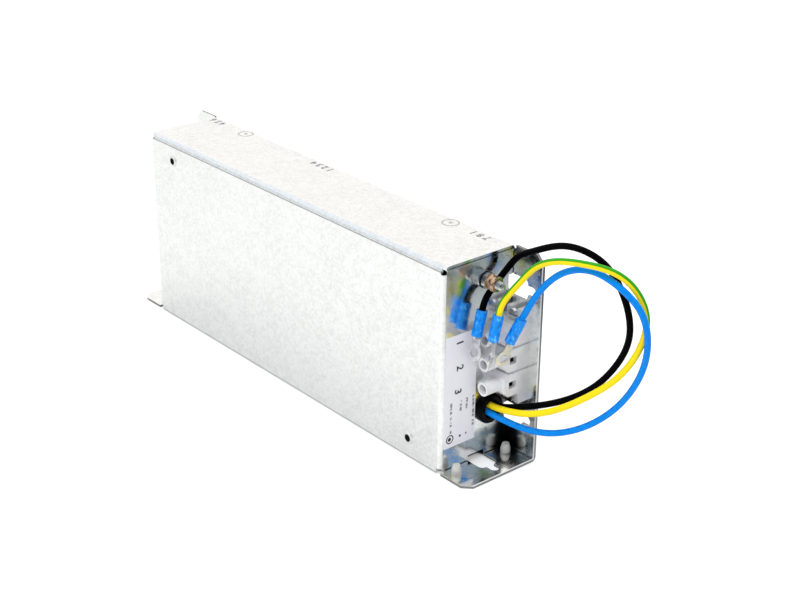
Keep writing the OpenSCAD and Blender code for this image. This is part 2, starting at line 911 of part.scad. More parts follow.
// Metal barrel with the flat neck and ring that grow out of it.
module ring_tongue(route, turn) {
    ring_z = sleeve_l + crimp_out + neck_l + ring_d / 2 - 1;
    at_lead_end(route)
        rotate(turn) {
            difference() {
                translate([0, 0, lead_grip])
                    cylinder(d = crimp_d, h = sleeve_l + crimp_out - lead_grip);
                translate([0, 0, lead_grip + crimp_wall])
                    cylinder(d = crimp_bore, h = sleeve_l);
            }
            translate([ring_offset, 0, 0])
                rotate([0, 90, 0])
                    linear_extrude(ring_t)
                        difference() {
                            union() {
                                translate([-ring_z, 0])
                                    circle(d = ring_d);
                                translate([-ring_z, -neck_w / 2])
                                    square([ring_z - sleeve_l - 0.4, neck_w]);
                            }
                            translate([-ring_z, 0])
                                circle(d = ring_hole);
                        }
        }
}

module black_lead() { in_frame() color("#101012") flying_lead(black_route); }
module earth_lead() { in_frame() color("#e8dc1e") flying_lead(earth_route); }
module blue_lead() { in_frame() color("#1e8cff") flying_lead(blue_route); }

module black_sleeve() { in_frame() color("#1470e0") crimp_sleeve(black_route); }
module earth_sleeve() { in_frame() color("#1470e0") crimp_sleeve(earth_route); }
module blue_sleeve() { in_frame() color("#1470e0") crimp_sleeve(blue_route); }

module black_ring_tongue() { in_frame() color("lightgray") ring_tongue(black_route, black_turn); }
module earth_ring_tongue() { in_frame() color("lightgray") ring_tongue(earth_route, earth_turn); }
module blue_ring_tongue() { in_frame() color("lightgray") ring_tongue(blue_route, blue_turn); }

// ---- Circuit board -------------------------------------------------------

// Components are drawn with X along the board, Y up and Z off its face.
module on_board(x, z) {
    translate([x, board_face_y, z])
        towards_lid()
            children();
}

// Two component wires through the board, pitch apart along local Y.
module pin_pair(pitch, diameter, from_z, to_z) {
    for (y = [-pitch / 2, pitch / 2])
        translate([0, y, from_z])
            cylinder(d = diameter, h = to_z - from_z);
}

// Every pair of wires on the board: place, direction and pitch.
module each_pin_pair(diameter, from_z, to_z) {
    for (x = [x_cap_a_x, x_cap_b_x])
        on_board(x, board_mid_z) pin_pair(x_cap_pitch, diameter, from_z, to_z);
    for (z = y_cap_z)
        on_board(y_cap_x, board_mid_z + z)
            rotate(90) pin_pair(y_cap_pitch, diameter, from_z, to_z);
    on_board(resistor_x, board_mid_z) pin_pair(resistor_pitch, diameter, from_z, to_z);
}

module circuit_board() {
    in_frame() color("darkgreen")
        difference() {
            translate([board_x, board_face_y, board_z])
                cube([board_l, board_t, board_w]);
            for (place = standoff_places)
                on_board(place[0], place[1])
                    translate([0, 0, -board_t - cut_over])
                        cylinder(d = board_screw_d + 2 * fit_gap, h = board_t + 2 * cut_over);
            each_pin_pair(pin_hole_d, -board_t - cut_over, cut_over);
        }
}

module insulating_sheet() {
    in_frame() color("lightyellow")
        difference() {
            translate([board_x + insulator_inset, back_y - insulator_t, board_z + insulator_inset])
                cube([board_l - 2 * insulator_inset, insulator_t, board_w - 2 * insulator_inset]);
            for (place = standoff_places)
                translate([place[0], body_d, place[1]])
                    towards_lid()
                        cylinder(d = standoff_d + 2 * fit_gap, h = body_d / 2);
        }
}

module board_standoffs() {
    in_frame() color("silver")
        for (place = standoff_places)
            translate([place[0], back_y, place[1]])
                towards_lid()
                    difference() {
                        union() {
                            cylinder(d = standoff_d, h = standoff_h);
                            translate([0, 0, -sheet_t])
                                cylinder(d = standoff_root_d, h = sheet_t);
                        }
                        translate([0, 0, -sheet_t + 1])
                            cylinder(d = standoff_bore, h = standoff_h + sheet_t);
                    }
}

module board_screws() {
    in_frame() color("silver")
        for (place = standoff_places)
            on_board(place[0], place[1])
                translate([0, 0, -board_screw_l])
                    slotted_screw(board_screw_d, board_screw_l, board_head_d, board_head_h);
}

module on_choke(x) {
    on_board(x, board_mid_z)
        translate([0, 0, choke_lift])
            children();
}

module choke_core(x) {
    in_frame() color("dimgray") on_choke(x)
        difference() {
            translate([0, 0, choke_over])
                cylinder(d = core_d, h = core_h);
            cylinder(d = core_bore, h = core_h + 3 * choke_over);
        }
}

// Block round the core's section, grown by one layer of wire.
module wrap_section(thickness) {
    grow = fit_gap + thickness;
    translate([core_bore / 2 - grow, choke_over - grow])
        square([(core_d - core_bore) / 2 + 2 * grow, core_h + 2 * grow]);
}

// One half winding: turns side by side over a thin common layer.
module choke_winding(x, start) {
    pitch = sector_angle / choke_turns;
    in_frame() color("#b8642a") on_choke(x)
        rotate(start) {
            difference() {
                union() {
                    rotate_extrude(angle = sector_angle - pitch * (1 - turn_fill))
                        wrap_section(turn_base);
                    for (i = [0 : choke_turns - 1])
                        rotate(i * pitch)
                            rotate_extrude(angle = pitch * turn_fill)
                                wrap_section(wire_t);
                }
                rotate_extrude() wrap_section(0);
            }
            // The two tails that go down into the board.
            for (a = [pitch * turn_fill / 2, sector_angle - pitch * (1 - turn_fill / 2)])
                rotate(a)
                    translate([core_d / 2 + wire_t / 2, 0, -choke_lift])
                        cylinder(d = wire_t, h = choke_lift + choke_over);
        }
}

// Insulating wall across the core that keeps the windings apart.
module choke_divider(x) {
    gap = 0.3;
    in_frame() color("ivory") on_choke(x)
        translate([-0.8, -core_bore / 2 + gap, -choke_lift])
            cube([1.6, core_bore - 2 * gap, choke_lift + core_h + 2 * choke_over]);
}

module choke_a_core() { choke_core(choke_a_x); }
module choke_a_line_winding() { choke_winding(choke_a_x, line_start); }
module choke_a_neutral_winding() { choke_winding(choke_a_x, neutral_start); }
module choke_a_divider() { choke_divider(choke_a_x); }
module choke_b_core() { choke_core(choke_b_x); }
module choke_b_line_winding() { choke_winding(choke_b_x, line_start); }
module choke_b_neutral_winding() { choke_winding(choke_b_x, neutral_start); }
module choke_b_divider() { choke_divider(choke_b_x); }

module box_capacitor(size, pitch, edge = 1) {
    translate([-size[0] / 2, -size[1] / 2, 0])
        linear_extrude(size[2])
            round_rect([size[0], size[1]], edge);
    pin_pair(pitch, pin_wire_d, -board_t - pin_past, 0);
}

module x_capacitor_a() {
    in_frame() color("gold") on_board(x_cap_a_x, board_mid_z)
        box_capacitor(x_cap_size, x_cap_pitch);
}

module x_capacitor_b() {
    in_frame() color("gold") on_board(x_cap_b_x, board_mid_z)
        box_capacitor(x_cap_size, x_cap_pitch);
}

module y_capacitors() {
    in_frame() color("royalblue")
        for (z = y_cap_z)
            on_board(y_cap_x, board_mid_z + z)
                rotate(90)
                    box_capacitor([y_cap_size[1], y_cap_size[0], y_cap_size[2]], y_cap_pitch);
}

module bleed_resistor() {
    in_frame() color("tan") on_board(resistor_x, board_mid_z) {
        translate([0, resistor_l / 2, resistor_lift])
            rotate([90, 0, 0])
                cylinder(d = resistor_d, h = resistor_l);
        translate([0, resistor_pitch / 2, resistor_lift])
            rotate([90, 0, 0])
                cylinder(d = pin_wire_d, h = resistor_pitch);
        pin_pair(resistor_pitch, pin_wire_d, -board_t - pin_past, resistor_lift);
    }
}

// ---- Leads inside the case -----------------------------------------------

// From the clamp barrel of one pole back to its pad on the board.
function input_route(i) =
    let (z = strip_z + pole_offsets[i], y = back_y - entry_h, x = body_l - strip_reach)
    [
        [x + clamp_grip, y, z], [x, y, z],
        [x - arch_run, y - arch_lift, z], [pad_x + arch_run, board_face_y - arch_h, z],
        [pad_x, board_face_y - 2 * pad_rise, z], [pad_x, board_face_y - pad_rise, z],
        [pad_x, board_face_y, z]
    ];

// From the grommet's face back to its pad on the board.
function tail_route(route, pad_z) =
    let (start = grommet_face + route[0], way = way_out(route), turn_y = board_face_y - tail_arch_h)
    [
        start, start - pad_rise * way, start - arch_h * way,
        [body_l - strip_reach - pad_rise, (start[1] + turn_y) / 2, (start[2] + pad_z) / 2],
        [pad_x, turn_y, pad_z], [pad_x, board_face_y - pad_rise, pad_z],
        [pad_x, board_face_y, pad_z]
    ];

module line_input_lead() {
    in_frame() color("saddlebrown") swept_lead(input_route(poles - 1), inner_lead_d, tail_rings);
}

module neutral_input_lead() {
    in_frame() color("royalblue") swept_lead(input_route(poles - 2), inner_lead_d, tail_rings);
}

module earth_input_lead() {
    in_frame() color("yellowgreen") swept_lead(input_route(0), inner_lead_d, tail_rings);
}

module black_lead_tail() {
    in_frame() color("#101012") swept_lead(tail_route(black_route, tail_pad_z[1]), lead_d, tail_rings);
}

module earth_lead_tail() {
    in_frame() color("#e8dc1e") swept_lead(tail_route(earth_route, tail_pad_z[2]), lead_d, tail_rings);
}

module blue_lead_tail() {
    in_frame() color("#1e8cff") swept_lead(tail_route(blue_route, tail_pad_z[0]), lead_d, tail_rings);
}

chassis();
lid();
lid_rivets();
foot_pins();
label();
grommet();
earth_stud();
earth_base_nut();
earth_washers();
earth_tooth_washer();
earth_spring_washer();
earth_nuts();
terminal_strip();
terminal_barrels();
terminal_screws();
strip_screws();
black_lead();
earth_lead();
blue_lead();
black_sleeve();
earth_sleeve();
blue_sleeve();
black_ring_tongue();
earth_ring_tongue();
blue_ring_tongue();
circuit_board();
insulating_sheet();
board_standoffs();
board_screws();
choke_a_core();
choke_a_line_winding();
choke_a_neutral_winding();
choke_a_divider();
choke_b_core();
choke_b_line_winding();
choke_b_neutral_winding();
choke_b_divider();
x_capacitor_a();
x_capacitor_b();
y_capacitors();
bleed_resistor();
line_input_lead();
neutral_input_lead();
earth_input_lead();
black_lead_tail();
earth_lead_tail();
blue_lead_tail();
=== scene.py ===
"""Looks of a chassis-mount EMI line filter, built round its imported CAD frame.

Meshes are in metres in the row frame: +X towards the terminal end of the case,
+Y from the riveted lid to the back leg, +Z up from the foot. Fields that hold
sizes and places of the part are in millimetres, and MM turns them into metres.
Those of the camera, the floor and the lamps are in metres, and scales of noise
are counted per metre.
"""

import logging
import math
from dataclasses import dataclass
from enum import Enum
from typing import Any, Optional, Sequence

import bpy
import numpy as np
from mathutils import Matrix, Vector

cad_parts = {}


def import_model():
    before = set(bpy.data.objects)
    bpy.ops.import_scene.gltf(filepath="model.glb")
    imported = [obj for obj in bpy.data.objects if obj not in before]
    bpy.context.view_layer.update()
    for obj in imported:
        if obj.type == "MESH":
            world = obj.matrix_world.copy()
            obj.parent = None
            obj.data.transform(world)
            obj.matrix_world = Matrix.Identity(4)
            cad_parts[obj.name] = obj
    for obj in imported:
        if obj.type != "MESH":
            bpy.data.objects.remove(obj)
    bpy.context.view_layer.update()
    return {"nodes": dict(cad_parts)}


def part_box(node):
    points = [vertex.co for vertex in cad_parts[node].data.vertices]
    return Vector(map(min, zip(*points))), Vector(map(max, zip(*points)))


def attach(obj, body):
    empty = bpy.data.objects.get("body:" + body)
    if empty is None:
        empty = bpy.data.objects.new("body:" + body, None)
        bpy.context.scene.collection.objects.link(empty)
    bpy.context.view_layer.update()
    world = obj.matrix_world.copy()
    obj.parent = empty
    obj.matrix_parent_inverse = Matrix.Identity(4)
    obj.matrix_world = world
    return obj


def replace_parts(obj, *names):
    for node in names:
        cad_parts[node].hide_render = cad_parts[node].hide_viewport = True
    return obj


LOG = logging.getLogger("line_filter")
MM = 0.001
BODY = "root"

Colour = tuple[float, float, float]
Point = tuple[float, float, float]
Route = tuple[Point, ...]

EVEN: Point = (1.0, 1.0, 1.0)


# ---------------------------------------------------------------------------
# Shader maths
# ---------------------------------------------------------------------------


class Shade:
    """A node socket whose value can be used in Python expressions."""

    def __init__(self, sheet: "NodeSheet", socket: Any) -> None:
        """Keeps the socket and the node sheet that it belongs to."""
        self.sheet = sheet
        self.socket = socket

    def _math(self, operation: str, *values: Any) -> "Shade":
        """Adds one Math node.

        Args:
            operation: Blender's name of the operation.
            values: up to three numbers or Shades.

        Returns:
            The node's result.
        """
        inputs = dict(enumerate(values))
        node = self.sheet.node("ShaderNodeMath", {"operation": operation}, inputs)
        return Shade(self.sheet, node.outputs[0])

    def __add__(self, other: Any) -> "Shade":
        """Sum."""
        return self._math("ADD", self, other)

    __radd__ = __add__

    def __sub__(self, other: Any) -> "Shade":
        """Difference."""
        return self._math("SUBTRACT", self, other)

    def __rsub__(self, other: Any) -> "Shade":
        """Difference with a number first."""
        return self._math("SUBTRACT", other, self)

    def __mul__(self, other: Any) -> "Shade":
        """Product."""
        return self._math("MULTIPLY", self, other)

    __rmul__ = __mul__

    def __lt__(self, other: Any) -> "Shade":
        """1 where this is below the other, else 0."""
        return self._math("LESS_THAN", self, other)

    def __gt__(self, other: Any) -> "Shade":
        """1 where this is above the other, else 0."""
        return self._math("GREATER_THAN", self, other)

    def size(self) -> "Shade":
        """Absolute value."""
        return self._math("ABSOLUTE", self)

    def fraction(self) -> "Shade":
        """What is left past the whole number."""
        return self._math("FRACT", self)

    def power(self, exponent: float) -> "Shade":
        """This value to a power."""
        return self._math("POWER", self, exponent)

    def most(self, other: Any) -> "Shade":
        """The greater of the two."""
        return self._math("MAXIMUM", self, other)

    def least(self, other: Any) -> "Shade":
        """The smaller of the two."""
        return self._math("MINIMUM", self, other)

    def ramp(self, low: float, high: float) -> "Shade":
        """Rises smoothly from 0 at low to 1 at high.

        Args:
            low: value that gives 0.
            high: value that gives 1.

        Returns:
            The mapped value.
        """
        node = self.sheet.node(
            "ShaderNodeMapRange",
            {"interpolation_type": "SMOOTHSTEP"},
            {"Value": self, "From Min": low, "From Max": high},
        )
        return Shade(self.sheet, node.outputs["Result"])


class NodeSheet:
    """Adds nodes to one node tree."""

    def __init__(self, tree: bpy.types.NodeTree) -> None:
        """Empties the tree and keeps it."""
        self.tree = tree
        self.tree.nodes.clear()

    def feed(self, socket: Any, value: Any) -> None:
        """Links or sets one input.

        Args:
            socket: the input.
            value: a Shade or a socket to link, or a plain value. A plain colour
                has three parts and gets its alpha here.
        """
        source = value.socket if isinstance(value, Shade) else value
        if isinstance(source, bpy.types.NodeSocket):
            self.tree.links.new(source, socket)
        elif socket.type == "RGBA":
            socket.default_value = (*source, 1.0)
        else:
            socket.default_value = source

    def node(
        self,
        kind: str,
        settings: Optional[dict[str, Any]] = None,
        inputs: Optional[dict[Any, Any]] = None,
    ) -> Any:
        """Adds a node of any type.

        Args:
            kind: the node's type name.
            settings: properties, which are set first.
            inputs: socket name or number to a value, a Shade or a socket.

        Returns:
            The new node.
        """
        made = self.tree.nodes.new(kind)
        for key, value in (settings or {}).items():
            setattr(made, key, value)
        for key, value in (inputs or {}).items():
            self.feed(made.inputs[key], value)
        return made

    def blend(self, first: Any, second: Any, factor: Any, how: str = "MIX") -> Any:
        """Mixes two colours.

        Args:
            first: colour where factor is 0.
            second: colour where factor is 1.
            factor: number or Shade.
            how: Blender's name for the way of mixing.

        Returns:
            The mixed colour's socket.
        """
        settings = {"data_type": "RGBA", "blend_type": how}
        node = self.node("ShaderNodeMix", settings, {"Factor": factor, 6: first, 7: second})
        return node.outputs[2]


class MaterialSheet(NodeSheet):
    """Builds one material's nodes round a Principled shader."""

    def __init__(self, name: str) -> None:
        """Makes an empty material with its shader and output.

        Args:
            name: the material's name.
        """
        self.material = bpy.data.materials.new(name)
        self.material.use_nodes = True
        super().__init__(self.material.node_tree)
        self.shader = self.node("ShaderNodeBsdfPrincipled")
        self.output = self.node("ShaderNodeOutputMaterial")
        self.feed(self.output.inputs["Surface"], self.shader.outputs[0])
        self.place = self.node("ShaderNodeTexCoord").outputs["Object"]

    def parts(self, vector: Any) -> tuple[Shade, Shade, Shade]:
        """Splits a vector.

        Args:
            vector: the vector's socket.

        Returns:
            Its three parts.
        """
        split = self.node("ShaderNodeSeparateXYZ", None, {0: vector})
        x, y, z = (Shade(self, output) for output in split.outputs)
        return x, y, z

    def axes(self) -> tuple[Shade, Shade, Shade]:
        """The object coordinates, in metres of the row frame."""
        return self.parts(self.place)

    def facing(self) -> tuple[Shade, Shade, Shade]:
        """The parts of the surface normal in the row frame."""
        return self.parts(self.node("ShaderNodeNewGeometry").outputs["Normal"])

    def noise(self, scale: float, detail: float = 3.0, stretch: Point = EVEN) -> Shade:
        """Cloudy noise round 0.5.

        Args:
            scale: features per metre.
            detail: how many finer layers are added.
            stretch: factors on the three coordinates.

        Returns:
            The noise value.
        """
        vector = self.place
        if stretch != EVEN:
            turned = {"Vector": vector, "Scale": stretch}
            vector = self.node("ShaderNodeMapping", None, turned).outputs[0]
        inputs = {"Vector": vector, "Scale": scale, "Detail": detail}
        return Shade(self, self.node("ShaderNodeTexNoise", None, inputs).outputs[0])

    def crystals(self, scale: float) -> Shade:
        """A random value from 0 to 1 for each crystal of a spangle.

        Args:
            scale: crystals per metre.

        Returns:
            The crystal's value.
        """
        inputs = {"Vector": self.place, "Scale": scale}
        node = self.node("ShaderNodeTexVoronoi", {"feature": "F1"}, inputs)
        split = self.node("ShaderNodeSeparateColor", None, {0: node.outputs["Color"]})
        return Shade(self, split.outputs[0])

    def grey(self, value: Any) -> Any:
        """Turns a value into a grey of that brightness."""
        return self.blend((0.0, 0.0, 0.0), (1.0, 1.0, 1.0), value)

    def bump(self, height: Shade, strength: float, distance: float) -> None:
        """Raises the surface by a height value.

        Args:
            height: the height from 0 to 1.
            strength: share of the bump that shows.
            distance: height in metres at 1.
        """
        inputs = {"Strength": strength, "Distance": distance, "Height": height}
        self.set("Normal", self.node("ShaderNodeBump", None, inputs).outputs[0])

    def set(self, socket: str, value: Any) -> None:
        """Sets or links one of the shader's sockets."""
        self.feed(self.shader.inputs[socket], value)


def scaled(colour: Colour, factor: float) -> Colour:
    """Scales a colour's three parts."""
    red, green, blue = (part * factor for part in colour)
    return red, green, blue


# ---------------------------------------------------------------------------
# Finishes
# ---------------------------------------------------------------------------


@dataclass(frozen=True)
class Galvanised:
    """Zinc-coated sheet with fine spangle, dull on its inner side, with painted shade and painted
    highlights.
    """

    name: str
    pale: float = 0.955
    spangles: float = 900.0
    fine_grain: float = 0.13
    patches: float = 330.0
    coarse_grain: float = 0.06
    clouds: float = 38.0
    clouding: float = 0.10
    # painted shade: brightness left on the inside of the case and at the lid's corner notches
    inside: float = 0.05
    inside_step: float = 0.4
    lip_back: float = 3.4
    notch: float = 1.25
    fold: float = 1.7
    lid_drop: float = 2.4
    sheet: float = 1.1
    # painted shade: darkening of the cut edges and of the lines along the lid's rims
    edge_shade_loss: float = 0.72
    low_rim: tuple[float, float] = (0.65, 0.85)
    far_rim: tuple[float, float] = (0.5, 0.45)
    top_rim: tuple[float, float] = (0.4, 0.75)
    # painted shade in the lower inner corner by the terminal end plate: its reach, top and strength
    shade_reach: tuple[float, float] = (5.5, 11.0)
    shade_top: tuple[float, float] = (26.0, 42.0)
    shade_loss: float = 0.88
    # painted highlight: width and brightness of the pale arris line, and how much it and the fold
    # lose their metal look
    arris: float = 0.65
    arris_highlight: float = 0.1
    highlight_dulling: float = 0.85
    # painted light: warmer tint on upward faces than on the sides, and a bluish painted reflection
    # on the bend
    side_light_tint: Colour = (0.985, 1.0, 0.985)
    top_light_tint: Colour = (1.0, 0.985, 0.945)
    bend_reflection_tint: Colour = (0.87, 0.925, 0.97)
    upward: tuple[float, float] = (0.5, 0.9)
    roughness: float = 0.17
    patch_roughness: float = 0.12
    cloud_roughness: float = 0.15
    inside_roughness: float = 0.4
    relief: float = 0.2
    relief_height: float = 0.4

    def build(self, case: "CaseSizes") -> bpy.types.Material:
        """Makes the material.

        Args:
            case: sizes that tell the inside of the case from its outside.

        Returns:
            The finished material.
        """
        sheet = MaterialSheet(self.name)
        masks = CaseMasks(self, sheet, case)
        fine, coarse = sheet.crystals(self.spangles), sheet.crystals(self.patches)
        cloud = sheet.noise(self.clouds, detail=4.0)
        grain = (fine - 0.5) * self.fine_grain + (coarse - 0.5) * self.coarse_grain
        value = grain + (cloud - 0.5) * self.clouding + self.pale
        shaded_inside, arris = masks.shaded_inside(), masks.arris()
        # painted shade: darkens the inside and the corner notches, the cut edges and the lid's rims
        value = value * (1 - shaded_inside * (1 - self.inside)) * (1 - masks.cut() * self.edge_shade_loss)
        # painted shade in the lower inner corner, and a painted highlight along the arrises
        value = value * (1 - masks.shaded() * self.shade_loss) + arris * self.arris_highlight
        # painted light: tint by facing, warmer on top, then the bluish painted reflection on the
        # bend
        tint = sheet.blend(self.side_light_tint, self.top_light_tint, masks.up.ramp(*self.upward))
        tint = sheet.blend(tint, self.bend_reflection_tint, masks.bend())
        sheet.set("Base Color", sheet.blend(sheet.grey(value), tint, 1.0, "MULTIPLY"))
        # painted highlight: the fold and the arrises turn pale and almost non-metallic
        sheet.set("Metallic", 1 - masks.fold(shaded_inside).most(arris) * self.highlight_dulling)
        rough = self.roughness + (coarse - 0.5) * self.patch_roughness
        rough = rough + shaded_inside * self.inside_roughness + (cloud - 0.5) * self.cloud_roughness
        sheet.set("Roughness", rough)
        sheet.bump(coarse * 0.5 + cloud, self.relief, self.relief_height * MM)
        return sheet.material


class CaseMasks:
    """Where each look of the folded sheets lies: 1 there and 0 elsewhere."""

    def __init__(self, metal: Galvanised, sheet: MaterialSheet, case: "CaseSizes") -> None:
        """Keeps the coordinates and the places that the masks share.

        Args:
            metal: the finish, whose fields give the masks' sizes.
            sheet: the material that they belong to.
            case: sizes of the case.
        """
        self.metal = metal
        self.case = case
        self.x, self.y, self.z = sheet.axes()
        self.east, self.north, self.up = sheet.facing()
        self.step = metal.inside_step * MM
        self.end = case.length / 2 * MM
        self.front = case.y(0)
        self.back = case.y(case.depth)
        self.lid_top = (case.height - metal.lid_drop) * MM

    def corners(self) -> Shade:
        """Small balls at the lid's corners, where its folds leave a notch, which is painted black
        as shade.

        Returns:
            The mask.
        """
        radius = self.metal.notch * MM
        x = self.x.size() - (self.end - radius / 2)
        y = self.y - (self.front + radius / 2)
        z = (self.z - self.lid_top).size().least((self.z - radius).size())
        return (x * x + y * y + z * z).power(0.5) < radius

    def shaded_inside(self) -> Shade:
        """Inner side of the sheets behind the lips, and the lid's corners, where shade is painted
        dark.

        Returns:
            The mask.
        """
        middle = self.case.height / 2 * MM
        inside = (
            (self.x.size() < self.end - self.step)
            * (self.y > self.case.y(self.metal.lip_back))
            * (self.y < self.back - self.step)
            * ((self.z - middle).size() < middle - self.step)
        )
        return inside.most(self.corners())

    def fold(self, shaded_inside: Shade) -> Shade:
        """Fold between the lid and each end plate, which is painted pale as a highlight.

        Args:
            shaded_inside: mask of the inner side with its painted shade, which is left out.

        Returns:
            The mask.
        """
        width = self.metal.fold
        bent = (self.x.size() > self.end - width * MM) * (self.y < self.case.y(width))
        return bent * (self.x.size() < self.end + self.step) * (1 - shaded_inside)

    def rims(self) -> Shade:
        """Lower, far and upper rim of the lid, each a painted shade line at its own strength.

        Returns:
            The mask.
        """
        width, share = self.metal.low_rim
        low = (self.z < width * MM) * share
        width, share = self.metal.far_rim
        far = ((0 - self.x) > self.end - width * MM) * share
        width, share = self.metal.top_rim
        top = (self.z > self.lid_top - width * MM) * (self.z < self.lid_top + self.step) * share
        lid = (self.y < self.front + self.step) * (self.x.size() < self.end + self.step)
        return lid * low.most(far).most(top)

    def cut(self) -> Shade:
        """Cut edges of the feet and legs, and the lid's rims, with painted shade on them.

        Returns:
            The mask.
        """
        thick = self.metal.sheet
        foot = (self.z < thick * MM) * (self.up.size() < 0.5)
        leg = (self.y > self.case.y(self.case.depth - thick)) * (self.north.size() < 0.5)
        return ((self.x.size() > self.end + self.step) * foot.most(leg)).most(self.rims())

    def shaded(self) -> Shade:
        """Painted shade in the lower inner corner of the terminal end plate and its leg, fading
        out.

        Returns:
            The mask.
        """
        near, wide = self.metal.shade_reach
        low, high = self.metal.shade_top
        beside = (self.x - self.end).size().most((self.back - self.y).size())
        shade = (1 - beside.ramp(near * MM, wide * MM)) * (self.x > self.end - self.step)
        shade = shade * (1 - self.z.ramp(low * MM, high * MM))
        return shade * (self.y < self.back - self.step) * (self.z > self.step)

    def arris(self) -> Shade:
        """Outer edges of the feet and legs, next to their cut ends, where a highlight is painted.

        Returns:
            The mask.
        """
        start = self.end + (self.case.flange - self.metal.arris) * MM
        return (self.x.size() > start) * (self.east.size() < 0.5)

    def bend(self) -> Shade:
        """Bend of the chassis from the top down behind the lid, where a bluish reflection is
        painted.

        Returns:
            The mask.
        """
        front = self.y < self.case.y(self.metal.lid_drop)
        return (self.z > self.lid_top) * front * (self.x.size() < self.end)


@dataclass(frozen=True)
class PlainMetal:
    """Plated or solid metal with fine machining marks and a little tarnish."""

    name: str
    colour: Colour
    roughness: float = 0.28
    wear: float = 0.25
    tarnish: float = 420.0
    tarnish_span: tuple[float, float] = (0.35, 0.6)
    marks: float = 2600.0
    mark_roughness: float = 0.2
    relief: float = 0.15
    relief_height: float = 0.08

    def build(self) -> bpy.types.Material:
        """Makes the material.

        Returns:
            The finished material.
        """
        sheet = MaterialSheet(self.name)
        tarnish = sheet.noise(self.tarnish).ramp(*self.tarnish_span)
        marks = sheet.noise(self.marks, detail=2.0)
        dark = scaled(self.colour, 1 - self.wear)
        sheet.set("Base Color", sheet.blend(dark, self.colour, tarnish))
        sheet.set("Metallic", 1.0)
        sheet.set("Roughness", self.roughness + (marks - 0.5) * self.mark_roughness)
        sheet.bump(marks, self.relief, self.relief_height * MM)
        return sheet.material


@dataclass(frozen=True)
class RivetMetal:
    """Pale rivet head, whose hollow where its mandrel broke off is painted black as shade."""

    name: str = "rivet_metal"
    colour: Colour = (0.88, 0.88, 0.87)
    wear: float = 0.1
    hollow_d: float = 3.4
    hollow_edge: float = 0.25
    hollow_shade_colour: Colour = (0.004, 0.004, 0.004)
    hollow_roughness: float = 0.5
    roughness: float = 0.28
    clouds: float = 700.0
    cloud_roughness: float = 0.2
    gloss: float = 0.1

    def build(self, case: "CaseSizes") -> bpy.types.Material:
        """Makes the material.

        Args:
            case: sizes that place the rivets.

        Returns:
            The finished material.
        """
        sheet = MaterialSheet(self.name)
        x, _, z = sheet.axes()
        middle = case.height / 2
        across = x.size() - (case.length / 2 - case.rivet_x) * MM
        up = (z - middle * MM).size() - (middle - case.rivet_z) * MM
        apart = (across * across + up * up).power(0.5)
        radius = self.hollow_d / 2
        rim = apart.ramp(radius * MM, (radius + self.hollow_edge) * MM)
        cloud = sheet.noise(self.clouds, detail=2.0)
        shade = sheet.blend(scaled(self.colour, 1 - self.wear), self.colour, cloud)
        # painted shade: the hollow is painted black
        sheet.set("Base Color", sheet.blend(self.hollow_shade_colour, shade, rim))
        sheet.set("Metallic", rim)
        rough = self.roughness + (cloud - 0.5) * self.cloud_roughness
        sheet.set("Roughness", rough + (1 - rim) * self.hollow_roughness)
        sheet.set("Specular IOR Level", self.gloss)
        return sheet.material


@dataclass(frozen=True)
class Moulding:
    """Moulded or dipped plastic with faint flow marks."""

    name: str
    colour: Colour
    roughness: float = 0.45
    coat: float = 0.0
    glow: float = 0.0
    glow_depth: float = 1.0
    gloss: float = 0.5
    mottling: float = 0.12
    clouds: float = 160.0
    cloud_span: tuple[float, float] = (0.3, 0.7)
    grain: float = 3200.0
    grain_roughness: float = 0.12
    relief: float = 0.1
    relief_height: float = 0.06

    def build(self) -> bpy.types.Material:
        """Makes the material.

        Returns:
            The finished material.
        """
        sheet = MaterialSheet(self.name)
        grain = sheet.noise(self.grain, detail=2.0)
        sheet.set("Roughness", self.roughness + (grain - 0.5) * self.grain_roughness)
        sheet.set("Coat Weight", self.coat)
        sheet.set("Specular IOR Level", self.gloss)
        sheet.set("Subsurface Weight", self.glow)
        sheet.set("Subsurface Scale", self.glow_depth * MM)
        self.surface(sheet, grain)
        return sheet.material

    def surface(self, sheet: MaterialSheet, grain: Shade) -> None:
        """Gives the plastic its mottled colour and fine grain.

        Args:
            sheet: the material.
            grain: noise of the grain.
        """
        cloud = sheet.noise(self.clouds).ramp(*self.cloud_span)
        dark = scaled(self.colour, 1 - self.mottling)
        sheet.set("Base Color", sheet.blend(dark, self.colour, cloud))
        sheet.bump(grain, self.relief, self.relief_height * MM)


@dataclass(frozen=True)
class SleeveVinyl(Moulding):
    """Crimped vinyl of the sleeves, with painted highlights and painted shade on its dents."""

    dents: float = 760.0
    stretch: Point = (1.0, 1.0, 0.6)
    # painted highlight colour and span, and painted shade in the dents
    shine_colour: Colour = (0.16, 0.56, 1.0)
    shine_span: tuple[float, float] = (0.58, 0.74)
    shade_span: tuple[float, float] = (0.46, 0.30)
    shade: float = 0.5
    shade_loss: float = 0.65
    dent_relief: float = 0.7
    dent_depth: float = 0.8

    def surface(self, sheet: MaterialSheet, grain: Shade) -> None:
        """Gives the sleeve its dents in relief, with painted highlights and painted shade on them.

        Args:
            sheet: the material.
            grain: noise of the grain, which is not used here; it is left to the roughness.
        """
        dents = sheet.noise(self.dents, 1.5, self.stretch)
        # painted highlight on the dents' crests and painted shade in their hollows
        lit = sheet.blend(self.colour, self.shine_colour, dents.ramp(*self.shine_span))
        deep = scaled(self.colour, 1 - self.shade_loss)
        low = dents.ramp(*self.shade_span) * self.shade
        sheet.set("Base Color", sheet.blend(lit, deep, low))
        sheet.bump(dents, self.dent_relief, self.dent_depth * MM)


class Insulation(Enum):
    """Colours of a lead's insulation."""

    BLACK = "black"
    EARTH = "earth"
    BLUE = "blue"


